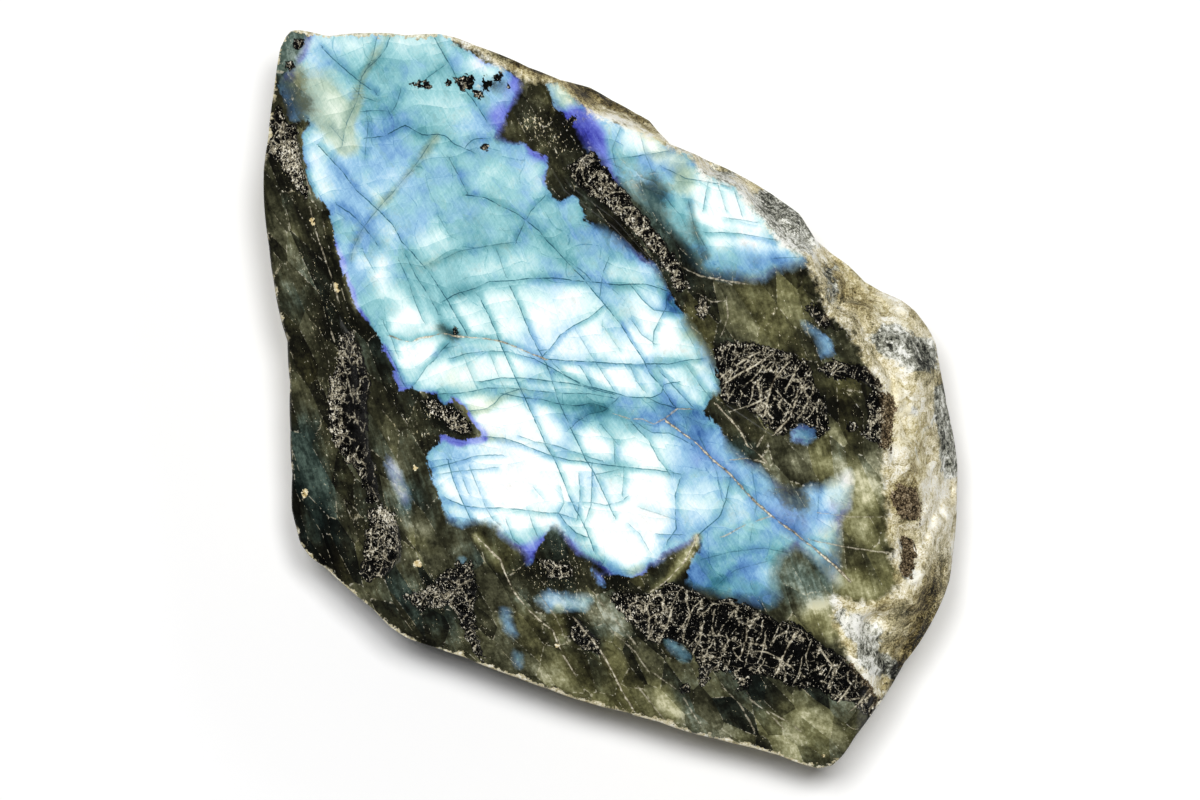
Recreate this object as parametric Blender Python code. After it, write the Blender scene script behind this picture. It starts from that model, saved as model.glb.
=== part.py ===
"""A rough chunk of labradorite with one polished face, lying on its sawn back.

It is one solid. The polished face and its two bevels look up (+Z), the rough rind runs round the upper and
right sides, and the sawn back is the flat face at z = 0. X runs across the face and Y up it, and the origin
is the middle of the stone's footprint, on the sawn back.
"""

import itertools
import math

import bmesh
import bpy
import numpy as np

MM = 0.001

# Driving dimensions, in millimetres.
THICKNESS = 36.0  # sawn back to the crown of the polished face
CROWN_DROP = 1.1  # how far the polished face falls away at CROWN_RADIUS from its middle
CROWN_RADIUS = 45.0
CREASE_DROP = 0.5  # how far the creases between the face and its cuts lie below the crown
CREASE_ROUNDING = 0.35  # how softly a cut meets the face

# How it looks as one plain material.
COLOUR = (0.33, 0.47, 0.52, 1.0)
ROUGHNESS = 0.3
METALLIC = 0.0

# The outline seen from above, clockwise from the upper left tip.
TOP_EDGE = [
    (-39.4, 46.5), (-37.7, 46.2), (-35.7, 45.7), (-33.2, 46.0), (-28.2, 46.1), (-25.9, 45.8), (-21.9, 46.0),
    (-19.6, 45.5), (-17.1, 44.5), (-14.3, 43.5), (-10.5, 41.8), (-6.5, 40.2), (-2.8, 39.4), (0.0, 37.8),
    (3.1, 36.1), (4.7, 35.2), (5.9, 33.7), (7.3, 32.1), (9.4, 31.3), (12.2, 30.1), (16.4, 28.2),
    (19.0, 26.7), (22.0, 24.7), (23.6, 23.5), (24.6, 21.9), (25.7, 20.1), (27.8, 18.4), (29.9, 16.9),
]
RIGHT_EDGE = [
    (31.9, 14.9), (34.0, 13.7), (36.5, 12.6), (38.2, 11.3), (39.7, 9.3), (40.8, 7.4), (41.4, 3.9),
    (42.3, -0.5), (43.2, -4.3), (43.8, -8.1), (43.7, -13.1), (43.3, -18.8), (42.7, -22.8), (41.1, -26.6),
    (39.1, -30.3), (36.9, -33.2), (35.2, -36.2), (33.0, -39.2), (30.7, -42.3), (29.1, -44.8), (27.8, -46.1),
]
LOWER_EDGE = [
    (26.0, -46.5), (23.8, -45.9), (21.0, -44.8), (17.8, -43.9), (13.4, -42.8), (9.6, -41.9), (5.9, -40.6),
    (1.4, -39.3), (-3.0, -38.2), (-8.0, -36.5), (-11.8, -35.1), (-14.9, -34.0), (-18.7, -32.4),
    (-22.4, -31.2), (-25.9, -30.0), (-27.9, -28.7), (-30.2, -26.3), (-33.2, -23.9), (-36.1, -21.3),
    (-38.2, -19.8),
]
LEFT_EDGE = [
    (-39.4, -18.2), (-39.9, -16.3), (-40.5, -13.8), (-40.4, -9.4), (-40.6, -3.7), (-40.6, 2.0), (-40.9, 7.4),
    (-41.8, 10.4), (-42.6, 14.8), (-43.2, 19.4), (-43.8, 24.7), (-43.8, 29.1), (-43.2, 32.9), (-42.6, 37.9),
    (-42.2, 41.0), (-41.7, 44.1), (-41.0, 45.6), (-40.3, 46.4),
]
OUTLINE = TOP_EDGE + RIGHT_EDGE + LOWER_EDGE + LEFT_EDGE

# Where the polish ends and the rough rind begins, clockwise. Its left and lower stretches lie outside the
# outline, because the bevels there are polished right to the edge.
POLISH_EDGE = [
    (-50.0, 50.0), (-20.0, 50.0), (-19.5, 45.0), (-14.5, 42.3), (-11.7, 40.8), (-6.5, 39.6), (-4.2, 37.5),
    (-1.7, 35.5), (5.2, 32.9), (8.3, 31.5), (10.2, 30.6), (11.5, 28.0), (15.2, 26.9), (18.6, 23.1),
    (20.2, 21.2), (21.5, 19.4), (24.6, 18.0), (26.1, 14.4), (27.1, 10.6), (29.6, 9.7), (32.1, 5.0),
    (34.0, 1.9), (34.0, -5.0), (34.3, -11.2), (35.2, -18.1), (35.7, -23.6), (33.3, -25.6), (27.7, -25.0),
    (28.1, -28.1), (28.9, -30.0), (30.2, -33.1), (33.3, -37.5), (36.0, -42.0), (33.0, -50.0), (-50.0, -50.0),
]

# The outline of the sawn back, clockwise.
BACK_EDGE = [
    (-35.0, 39.0), (-14.0, 37.5), (4.0, 28.5), (19.0, 18.0), (32.5, 4.5), (36.5, -11.0), (33.5, -27.0),
    (23.0, -38.0), (3.0, -33.5), (-19.0, -25.5), (-33.0, -15.0), (-35.5, 4.0), (-38.0, 24.0),
]

# Each flat cut round the face: a point on its crease with the face (mm), the way it falls (degrees
# anticlockwise from +X) and how steeply (degrees).
CUTS = {
    "left_bevel": ((-33.0, 14.0), 200.0, 31.0),
    "lower_left_corner": ((-27.5, -14.5), 228.0, 33.0),
    "lower_bevel": ((-1.5, -25.5), 253.0, 30.0),
    "lower_left_edge": ((-34.5, -19.5), 228.0, 58.0),
    "lower_edge": ((0.0, -37.0), 253.0, 58.0),
    "left_edge": ((-41.5, 14.0), 187.0, 60.0),
    "lower_right_tip": ((32.0, -38.5), -36.0, 52.0),
    "right_shoulder": ((38.0, -8.0), 2.0, 58.0),
    "upper_right_corner": ((33.0, 10.0), 48.0, 45.0),
    "lower_right_corner": ((35.5, -27.0), -31.0, 50.0),
    "upper_right_rim": ((-0.5, 35.5), 60.0, 48.0),
    "shoulder_rim": ((21.5, 21.0), 52.0, 40.0),
}

# Dark crumbly inclusions that stand a little below the polish, and their outlines in mm.
PIT_DEPTH = 0.8
PIT_RIM = 1.2  # width of the slope down into a pit
PITS = {
    "right of the face": [
        (13.5, 6.2), (17.7, 6.6), (24.0, 4.7), (26.0, 0.8), (27.2, -4.0), (24.0, -4.6), (20.0, -4.6),
        (14.0, -0.6),
    ],
    "lower bevel": [
        (0.0, -23.7), (8.0, -22.4), (14.5, -25.0), (24.0, -28.0), (31.0, -34.4), (32.4, -39.0), (26.0, -37.5),
        (16.0, -35.2), (9.5, -32.0), (3.4, -27.6),
    ],
    "strip across the top": [
        (-12.0, 34.0), (-8.0, 30.6), (-1.0, 26.4), (4.0, 20.0), (9.0, 14.6), (6.2, 15.0), (0.0, 21.6),
        (-6.0, 26.0), (-9.0, 31.0),
    ],
    "strip down the left": [
        (-34.8, 12.0), (-32.8, 8.6), (-31.0, -2.0), (-29.0, -13.0), (-32.0, -13.0), (-34.5, -6.0),
        (-35.6, 2.0),
    ],
    "upper left": [(-42.5, 35.5), (-38.8, 34.0), (-38.2, 28.0), (-37.2, 25.4), (-41.8, 30.0)],
    "lower left": [(-29.9, -13.9), (-26.6, -15.5), (-26.2, -20.5), (-29.4, -22.5), (-31.0, -19.5)],
}

# The rough surface broke along flat facets, large and small: how far apart they lie (mm), how far each stands
# off (mm) and its tilt (rise over run).
FACET_LAYERS = [(14.0, 1.6, 0.42), (5.5, 0.5, 0.30)]
FACET_BLEND = 0.075  # how softly one facet gives way to the next, as a share of their spacing squared
FACET_REACH = 50.0  # every point of the stone is within this of the origin along each axis
FACET_SEED = 7
RIND_EDGE = 1.6  # width over which the polish gives way to the rough rind
RIND_STEP = 0.7  # the lip where the polish ends
RIND_SLOPE = 0.26  # rise over run of the rind away from the polish
RIND_RELIEF = 0.6  # share of the facets' relief that weathering has left on the rind
RIND_LUMPS = [  # middle, radius and height of each knob that stands out of the rind, in mm
    ((1.2, 35.0), 5.5, 1.6),
    ((24.0, 22.5), 5.0, 1.6),
    ((36.0, 6.5), 6.0, 1.0),
    ((40.0, -12.0), 7.0, 1.0),
    ((37.0, -29.0), 5.0, 0.8),
]
WALL_CURVE = 2.6  # above 1, the side walls fall steeply first and turn in towards the back
WALL_RELIEF = 1.4  # how far the broken facets cut into the side walls on average
WALL_FADE = 0.14  # share of the wall's height over which its relief fades in at each end

# The mesh: cells each way across the top, and rings down the side wall.
TOP_CELLS = 48
WALL_RINGS = 12


def polar(outline, angles):
    """The distance from the middle to a closed outline at each angle."""
    points = np.array(outline)
    at = np.arctan2(points[:, 1], points[:, 0])
    order = np.argsort(at)
    return np.interp(angles, at[order], np.hypot(*points[order].T), period=2 * math.pi)


def outside_by(points, outline):
    """How far each point lies outside a closed outline: negative within it."""
    corners = np.array(outline)
    nearest = np.full(len(points), np.inf)
    within = np.zeros(len(points), bool)
    for a, b in zip(corners, np.roll(corners, -1, axis=0)):
        along = np.clip((points - a) @ (b - a) / ((b - a) @ (b - a)), 0, 1)
        nearest = np.minimum(nearest, np.linalg.norm(points - a - along[:, None] * (b - a), axis=1))
        crosses = (a[1] > points[:, 1]) != (b[1] > points[:, 1])
        rise = b[1] - a[1] or 1.0
        within ^= crosses & (points[:, 0] < a[0] + (points[:, 1] - a[1]) * (b[0] - a[0]) / rise)
    return np.where(within, -nearest, nearest)


def smooth_step(x):
    x = np.clip(x, 0, 1)
    return x * x * (3 - 2 * x)


def facets(points):
    """The relief of stone broken along flat facets, each a tilted plane round its seed in a loose lattice."""
    relief = np.zeros(len(points))
    for layer, (spacing, height, tilt) in enumerate(FACET_LAYERS):
        random = np.random.default_rng(FACET_SEED + layer)
        lattice = [int(2 * FACET_REACH / spacing) + 3] * 3
        offsets = random.random((*lattice, 3))
        heights = random.uniform(-height, height, lattice)
        slopes = random.uniform(-tilt, tilt, (*lattice, 3)) * spacing
        places = (points + FACET_REACH) / spacing + 1
        home = np.floor(places).astype(int)
        level, share = 0, 0
        for shift in itertools.product((-1, 0, 1), repeat=3):
            cell = tuple((home + shift).T)
            from_seed = places - home - shift - offsets[cell]
            nearness = np.exp(-(from_seed**2).sum(1) / FACET_BLEND)
            level = level + nearness * (heights[cell] + (from_seed * slopes[cell]).sum(1))
            share = share + nearness
        relief += level / share
    return relief


def face_height(across):
    """The cut and polished surface: the crown and the cuts round it, each taking over where it is lowest."""
    crown = THICKNESS - CROWN_DROP * (across**2).sum(1) / CROWN_RADIUS**2
    levels = [crown]
    for crease, falls, steepness in CUTS.values():
        way = np.array([math.cos(math.radians(falls)), math.sin(math.radians(falls))])
        levels.append(THICKNESS - CREASE_DROP - math.tan(math.radians(steepness)) * ((across - crease) @ way))
    lowest = np.min(levels, axis=0)
    spread = sum(np.exp((lowest - level) / CREASE_ROUNDING) for level in levels)
    return lowest - CREASE_ROUNDING * np.log(spread)


def top_surface(across):
    """The height of the stone's upper side at each point of the plan."""
    height = face_height(across)
    off_polish = outside_by(across, POLISH_EDGE)
    rind = smooth_step(off_polish / RIND_EDGE)
    height -= rind * (RIND_STEP + RIND_SLOPE * np.maximum(off_polish, 0))
    height += rind * RIND_RELIEF * facets(np.column_stack([across, height]))
    for middle, radius, rise in RIND_LUMPS:
        height += rind * rise * smooth_step(1 - np.linalg.norm(across - middle, axis=1) / radius)
    for pit in PITS.values():
        height -= (1 - rind) * PIT_DEPTH * smooth_step(-outside_by(across, pit) / PIT_RIM)
    return height


def on_stone(grid):
    """Places a square grid's points on the stone. A point's x and y run from -1 to 1 over the grid, and its z
    is 0 on the upper side and the share of the way down the side wall below its rim."""
    u, v, down = grid.T
    x = u * np.sqrt(1 - v**2 / 2)
    y = v * np.sqrt(1 - u**2 / 2)
    angle = np.arctan2(y, x)
    way = np.column_stack([np.cos(angle), np.sin(angle)])
    rim = polar(OUTLINE, angle)
    back = polar(BACK_EDGE, angle)
    turned_in = down**WALL_CURVE
    across = way * (np.hypot(x, y) * (rim + (back - rim) * turned_in))[:, None]
    height = top_surface(way * (np.hypot(x, y) * rim)[:, None]) * (1 - down)
    fade = smooth_step(down / WALL_FADE) * smooth_step((1 - down) / WALL_FADE)
    cut_in = fade * np.maximum(WALL_RELIEF - facets(np.column_stack([across, height])), 0)
    return np.column_stack([across - way * cut_in[:, None], height])


def labradorite():
    material = bpy.data.materials.new("labradorite")
    material.use_nodes = True
    surface = material.node_tree.nodes["Principled BSDF"]
    surface.inputs["Base Color"].default_value = COLOUR
    surface.inputs["Roughness"].default_value = ROUGHNESS
    surface.inputs["Metallic"].default_value = METALLIC
    return material


def chunk():
    """A grid over the upper side, its rim drawn down ring by ring to the back, and the back closed flat."""
    stone = bmesh.new()
    bmesh.ops.create_grid(stone, x_segments=TOP_CELLS, y_segments=TOP_CELLS, size=1)
    rim = [edge for edge in stone.edges if edge.is_boundary]
    for ring in range(1, WALL_RINGS + 1):
        made = bmesh.ops.extrude_edge_only(stone, edges=rim)["geom"]
        rim = [item for item in made if isinstance(item, bmesh.types.BMEdge)]
        for vertex in {vertex for edge in rim for vertex in edge.verts}:
            vertex.co.z = ring / WALL_RINGS
    bmesh.ops.contextual_create(stone, geom=rim)

    places = on_stone(np.array([vertex.co for vertex in stone.verts], float))
    for vertex, place in zip(stone.verts, places):
        vertex.co = place * MM
    bmesh.ops.triangulate(stone, faces=[face for face in stone.faces if len(face.verts) == 4])
    bmesh.ops.recalc_face_normals(stone, faces=stone.faces)
    mesh = bpy.data.meshes.new("labradorite_chunk")
    stone.to_mesh(mesh)
    stone.free()
    mesh.materials.append(labradorite())
    return bpy.data.objects.new("labradorite_chunk", mesh)


def main():
    for thing in list(bpy.data.objects):
        bpy.data.objects.remove(thing)
    collection = bpy.data.collections.new("Labradorite chunk")
    bpy.context.scene.collection.children.link(collection)
    collection.objects.link(chunk())


main()
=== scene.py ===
"""The looks of the labradorite chunk: its fine skin, flash (a sheen painted into its colour), inclusions,
cracks and rind, its light and camera.

Places are read in the photograph's own pixels (1200 x 800, y down) and turned into millimetres on the polished
face. Names that end in _PX hold pixels, with the points of a line or an outline as x,y pairs one after another.
Every other length is in millimetres unless it says metres.
"""

import itertools
import math

import bmesh
import bpy
import numpy as np
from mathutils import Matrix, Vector


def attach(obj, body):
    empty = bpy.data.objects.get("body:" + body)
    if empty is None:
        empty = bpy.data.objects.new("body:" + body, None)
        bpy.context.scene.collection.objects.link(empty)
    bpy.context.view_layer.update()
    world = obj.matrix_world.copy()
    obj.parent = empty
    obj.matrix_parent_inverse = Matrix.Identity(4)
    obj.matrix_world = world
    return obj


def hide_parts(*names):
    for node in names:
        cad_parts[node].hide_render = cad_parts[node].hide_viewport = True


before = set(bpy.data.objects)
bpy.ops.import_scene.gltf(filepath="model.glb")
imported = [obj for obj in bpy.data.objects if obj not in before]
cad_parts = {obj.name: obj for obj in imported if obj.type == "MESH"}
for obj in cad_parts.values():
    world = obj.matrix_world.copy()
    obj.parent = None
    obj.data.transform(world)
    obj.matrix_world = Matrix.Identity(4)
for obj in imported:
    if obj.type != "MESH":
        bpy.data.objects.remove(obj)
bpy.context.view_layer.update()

NODE = "labradorite_chunk"
MM = 0.001

# The photograph's frame.
IMAGE_WIDTH_PX = 1200
IMAGE_MIDDLE_PX = (600, 400)
STONE_MIDDLE_PX = (612, 400)  # where the stone's own origin shows
PX_PER_MM = 8.0  # on the polished face

# ---------------------------------------------------------------- the shape, as the solid has it

THICKNESS = 36.0
CROWN_DROP = 1.1
CROWN_RADIUS = 45.0
CREASE_DROP = 0.5
CREASE_ROUNDING = 0.35

TOP_EDGE = [
    (-39.4, 46.5), (-37.7, 46.2), (-35.7, 45.7), (-33.2, 46.0), (-28.2, 46.1), (-25.9, 45.8), (-21.9, 46.0),
    (-19.6, 45.5), (-17.1, 44.5), (-14.3, 43.5), (-10.5, 41.8), (-6.5, 40.2), (-2.8, 39.4), (0.0, 37.8),
    (3.1, 36.1), (4.7, 35.2), (5.9, 33.7), (7.3, 32.1), (9.4, 31.3), (12.2, 30.1), (16.4, 28.2),
    (19.0, 26.7), (22.0, 24.7), (23.6, 23.5), (24.6, 21.9), (25.7, 20.1), (27.8, 18.4), (29.9, 16.9),
]
RIGHT_EDGE = [
    (31.9, 14.9), (34.0, 13.7), (36.5, 12.6), (38.2, 11.3), (39.7, 9.3), (40.8, 7.4), (41.4, 3.9),
    (42.3, -0.5), (43.2, -4.3), (43.8, -8.1), (43.7, -13.1), (43.3, -18.8), (42.7, -22.8), (41.1, -26.6),
    (39.1, -30.3), (36.9, -33.2), (35.2, -36.2), (33.0, -39.2), (30.7, -42.3), (29.1, -44.8), (27.8, -46.1),
]
LOWER_EDGE = [
    (26.0, -46.5), (23.8, -45.9), (21.0, -44.8), (17.8, -43.9), (13.4, -42.8), (9.6, -41.9), (5.9, -40.6),
    (1.4, -39.3), (-3.0, -38.2), (-8.0, -36.5), (-11.8, -35.1), (-14.9, -34.0), (-18.7, -32.4),
    (-22.4, -31.2), (-25.9, -30.0), (-27.9, -28.7), (-30.2, -26.3), (-33.2, -23.9), (-36.1, -21.3),
    (-38.2, -19.8),
]
LEFT_EDGE = [
    (-39.4, -18.2), (-39.9, -16.3), (-40.5, -13.8), (-40.4, -9.4), (-40.6, -3.7), (-40.6, 2.0), (-40.9, 7.4),
    (-41.8, 10.4), (-42.6, 14.8), (-43.2, 19.4), (-43.8, 24.7), (-43.8, 29.1), (-43.2, 32.9), (-42.6, 37.9),
    (-42.2, 41.0), (-41.7, 44.1), (-41.0, 45.6), (-40.3, 46.4),
]
OUTLINE = TOP_EDGE + RIGHT_EDGE + LOWER_EDGE + LEFT_EDGE

POLISH_EDGE = [
    (-50.0, 50.0), (-20.0, 50.0), (-19.5, 45.0), (-14.5, 42.3), (-11.7, 40.8), (-6.5, 39.6), (-4.2, 37.5),
    (-1.7, 35.5), (5.2, 32.9), (8.3, 31.5), (10.2, 30.6), (11.5, 28.0), (15.2, 26.9), (18.6, 23.1),
    (20.2, 21.2), (21.5, 19.4), (24.6, 18.0), (26.1, 14.4), (27.1, 10.6), (29.6, 9.7), (32.1, 5.0),
    (34.0, 1.9), (34.0, -5.0), (34.3, -11.2), (35.2, -18.1), (35.7, -23.6), (33.3, -25.6), (27.7, -25.0),
    (28.1, -28.1), (28.9, -30.0), (30.2, -33.1), (33.3, -37.5), (36.0, -42.0), (33.0, -50.0), (-50.0, -50.0),
]
BACK_EDGE = [
    (-35.0, 39.0), (-14.0, 37.5), (4.0, 28.5), (19.0, 18.0), (32.5, 4.5), (36.5, -11.0), (33.5, -27.0),
    (23.0, -38.0), (3.0, -33.5), (-19.0, -25.5), (-33.0, -15.0), (-35.5, 4.0), (-38.0, 24.0),
]

# Each cut: a point on its crease with the face, the way it falls (degrees) and how steeply (degrees).
CUTS = {
    "left_bevel": ((-33.0, 14.0), 200.0, 31.0),
    "lower_left_corner": ((-27.5, -14.5), 228.0, 33.0),
    "lower_bevel": ((-1.5, -25.5), 253.0, 30.0),
    "lower_left_edge": ((-34.5, -19.5), 228.0, 58.0),
    "lower_edge": ((0.0, -37.0), 253.0, 58.0),
    "left_edge": ((-41.5, 14.0), 187.0, 60.0),
    "lower_right_tip": ((32.0, -38.5), -36.0, 52.0),
    "right_shoulder": ((38.0, -8.0), 2.0, 58.0),
    "upper_right_corner": ((33.0, 10.0), 48.0, 45.0),
    "lower_right_corner": ((35.5, -27.0), -31.0, 50.0),
    "upper_right_rim": ((-0.5, 35.5), 60.0, 48.0),
    "shoulder_rim": ((21.5, 21.0), 52.0, 40.0),
}

PIT_DEPTH = 0.8
PIT_RIM = 1.2
PITS = {
    "right of the face": [
        (13.5, 6.2), (17.7, 6.6), (24.0, 4.7), (26.0, 0.8), (27.2, -4.0), (24.0, -4.6), (20.0, -4.6),
        (14.0, -0.6),
    ],
    "lower bevel": [
        (0.0, -23.7), (8.0, -22.4), (14.5, -25.0), (24.0, -28.0), (31.0, -34.4), (32.4, -39.0), (26.0, -37.5),
        (16.0, -35.2), (9.5, -32.0), (3.4, -27.6),
    ],
    "strip across the top": [
        (-12.0, 34.0), (-8.0, 30.6), (-1.0, 26.4), (4.0, 20.0), (9.0, 14.6), (6.2, 15.0), (0.0, 21.6),
        (-6.0, 26.0), (-9.0, 31.0),
    ],
    "strip down the left": [
        (-34.8, 12.0), (-32.8, 8.6), (-31.0, -2.0), (-29.0, -13.0), (-32.0, -13.0), (-34.5, -6.0),
        (-35.6, 2.0),
    ],
    "upper left": [(-42.5, 35.5), (-38.8, 34.0), (-38.2, 28.0), (-37.2, 25.4), (-41.8, 30.0)],
    "lower left": [(-29.9, -13.9), (-26.6, -15.5), (-26.2, -20.5), (-29.4, -22.5), (-31.0, -19.5)],
}

FACET_LAYERS = [(14.0, 1.6, 0.42), (5.5, 0.5, 0.30)]
FACET_BLEND = 0.075
FACET_REACH = 50.0
FACET_SEED = 7
RIND_EDGE = 1.6
RIND_STEP = 0.7
RIND_SLOPE = 0.26
RIND_RELIEF = 0.6
RIND_LUMPS = [
    ((1.2, 35.0), 5.5, 1.6),
    ((24.0, 22.5), 5.0, 1.6),
    ((36.0, 6.5), 6.0, 1.0),
    ((40.0, -12.0), 7.0, 1.0),
    ((37.0, -29.0), 5.0, 0.8),
]
WALL_CURVE = 2.6
WALL_RELIEF = 1.4
WALL_FADE = 0.14

# The finer relief that only the skin has: spacing, height and tilt of each layer of facets. A drop lowers each
# grain, so that its tips stay within the solid.
RIND_GRAIN = [(2.4, 0.24, 0.30), (1.1, 0.13, 0.30)]
RIND_GRAIN_SEED = 31
RIND_GRAIN_DROP = 0.62
CRUMB_GRAIN = [(1.3, 0.16, 0.35), (0.7, 0.12, 0.3)]
CRUMB_GRAIN_SEED = 57
CRUMB_GRAIN_DROP = 0.12
CRUMB_EDGE = 0.5  # over which the crumbly grain of the inclusions sets in
CRUMB_REACH = 1.0  # down the sides

# The skin's mesh.
TOP_CELLS = 256
WALL_RINGS = 29
SKIN_SHARE = 0.9965  # of the solid's width, so that the finer skin stays within its box

# ---------------------------------------------------------------- markings, in the photograph's pixels

# The flash's outlines are the stone's own; its brightness is the labradorescent sheen of the inner layers,
# painted into the colour as it shows from above.
MAIN_FLASH_PX = [
    312,20, 308,36, 302,52, 295,66, 284,76, 280,85, 285,98, 289,112, 290,120, 300,118, 308,120, 308,127,
    303,133, 301,150, 303,160, 306,170, 309,180, 313,190, 318,198, 324,205, 328,212, 332,220, 335,230, 334,240,
    337,250, 340,260, 345,280, 352,300, 357,310, 368,322, 378,335, 386,355, 395,375, 400,390, 411,388, 429,395,
    435,395, 446,404, 451,400, 464,408, 473,422, 484,437, 462,440, 440,435, 440,444, 428,452, 427,463, 430,472,
    438,492, 445,512, 448,520, 462,527, 475,523, 485,520, 497,527, 500,535, 510,543, 520,548, 527,555, 527,565,
    533,562, 538,550, 545,537, 550,528, 556,527, 562,533, 570,545, 578,553, 598,562, 602,568, 610,575, 630,578,
    645,573, 652,565, 670,553, 685,545, 697,537, 699,548, 686,574, 686,583, 720,596, 747,601, 769,607, 777,599,
    774,576, 779,556, 796,546, 812,557, 828,573, 839,585, 837,575, 836,556, 838,545, 838,518, 849,508, 852,480,
    850,470, 845,472, 838,480, 828,483, 818,488, 808,487, 800,495, 782,489, 763,471, 747,462, 731,449, 720,430,
    704,411, 713,398, 721,387, 718,366, 710,350, 699,334, 688,320, 678,307, 667,288, 654,264, 644,260, 624,243,
    607,229, 585,220, 582,207, 580,198, 574,194, 560,200, 553,197, 549,190, 545,182, 547,172, 549,165, 546,157,
    533,151, 525,144, 505,141, 497,138, 500,132, 508,115, 518,95, 522,85, 520,78, 500,66, 480,58, 452,40,
    445,22,
]
UPPER_FLASH_PX = [
    545,82, 560,80, 563,83, 578,99, 597,115, 620,122, 630,128, 650,134, 665,144, 678,148, 690,152, 700,168,
    712,175, 735,186, 752,200, 762,215, 775,230, 787,246, 808,256, 805,262, 790,268, 775,270, 765,278, 750,280,
    730,278, 700,270, 694,264, 686,250, 671,229, 652,209, 629,193, 611,178, 600,160, 588,148, 583,140, 573,125,
    560,112, 553,105, 550,95, 545,85,
]
FLASH_SPECKS_PX = [
    [386,455, 396,468, 410,500, 408,510, 398,492, 389,470], [592,570, 602,574, 606,590, 598,586],
    [537,600, 549,590, 563,597, 566,594, 590,600, 586,610, 566,610, 548,613],
    [500,610, 508,612, 515,634, 507,630], [515,655, 519,657, 520,668, 516,664],
    [665,640, 676,643, 690,658, 684,660, 672,650], [722,664, 734,666, 731,671],
    [790,428, 800,425, 814,427, 817,438, 806,444, 792,440],
    [800,320, 816,335, 820,345, 822,357, 834,355, 832,345, 828,338, 808,326], [460,558, 465,559, 463,563],
]
INCLUSIONS_PX = {
    "upper_left": [
        277,103, 288,122, 298,121, 297,140, 301,165, 308,190, 306,200, 292,182, 276,162, 266,155, 268,120,
    ],
    "strip_across_the_top": [
        592,150, 606,168, 620,186, 636,205, 650,222, 664,240, 676,256, 686,274, 688,290, 676,292, 670,276,
        658,259, 644,243, 630,228, 614,213, 600,201, 586,192, 572,180, 568,168, 578,158,
    ],
    "below_the_upper_flash": [697,296, 706,293, 711,305, 706,318, 699,316, 696,306],
    "right_of_the_face": [
        713,350, 721,342, 747,342, 774,347, 793,353, 809,363, 817,382, 828,409, 830,428, 818,438, 816,426,
        798,424, 786,436, 774,433, 758,417, 742,409, 723,401, 720,390, 716,370,
    ],
    "small_streak": [805,308, 818,303, 832,322, 827,333, 815,320],
    "right_streak": [818,366, 832,360, 845,360, 866,367, 885,386, 876,389, 862,382, 842,380, 826,378],
    "by_the_rind": [872,388, 893,395, 898,405, 893,428, 890,452, 878,447, 862,433, 868,420, 865,400],
    "spot_by_the_rind": [846,419, 856,422, 858,431, 848,432],
    "in_the_rind": [890,498, 898,484, 916,488, 923,505, 920,523, 901,519],
    "below_it": [903,534, 914,539, 917,556, 912,577, 903,580, 900,562],
    "lower_bevel": [
        610,595, 630,590, 650,597, 665,583, 690,588, 700,597, 735,600, 757,610, 780,622, 800,624, 825,645,
        850,663, 868,683, 881,702, 872,720, 855,705, 835,700, 818,690, 790,688, 770,676, 752,675, 748,698,
        742,690, 730,672, 712,672, 705,690, 698,685, 700,668, 690,648, 668,640, 655,645, 640,632, 620,612,
    ],
    "strip_down_the_left": [
        338,334, 352,330, 362,352, 370,380, 366,405, 368,450, 377,475, 380,503, 366,505, 360,480, 350,466,
        334,450, 327,428, 328,380, 336,360,
    ],
    "lower_left": [368,510, 378,506, 393,514, 402,540, 398,560, 385,578, 366,582, 356,575, 364,545],
    "lower_bevel_left": [
        440,575, 458,562, 475,570, 478,592, 473,620, 480,648, 488,668, 470,650, 462,630, 450,607, 420,612,
        402,596, 420,592,
    ],
    "below_the_face": [535,556, 552,562, 575,568, 570,580, 548,578],
    "in_the_flash": [
        421,402, 432,398, 446,408, 452,406, 462,414, 470,426, 474,434, 460,434, 448,428, 440,420, 430,412,
    ],
    "dark_zone": [575,618, 600,640, 598,655, 582,650, 568,634],
}
# Small round inclusions: a middle and a radius.
DARK_SPOTS_PX = [
    (297, 44, 6), (289, 66, 5), (415, 84, 3), (427, 84, 5), (449, 82, 4), (466, 82, 9), (476, 94, 5),
    (487, 84, 7), (485, 76, 3), (498, 77, 4), (508, 86, 2), (486, 148, 3), (571, 120, 4), (685, 690, 6),
    (740, 690, 3), (456, 330, 4), (470, 562, 4),
]
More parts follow.
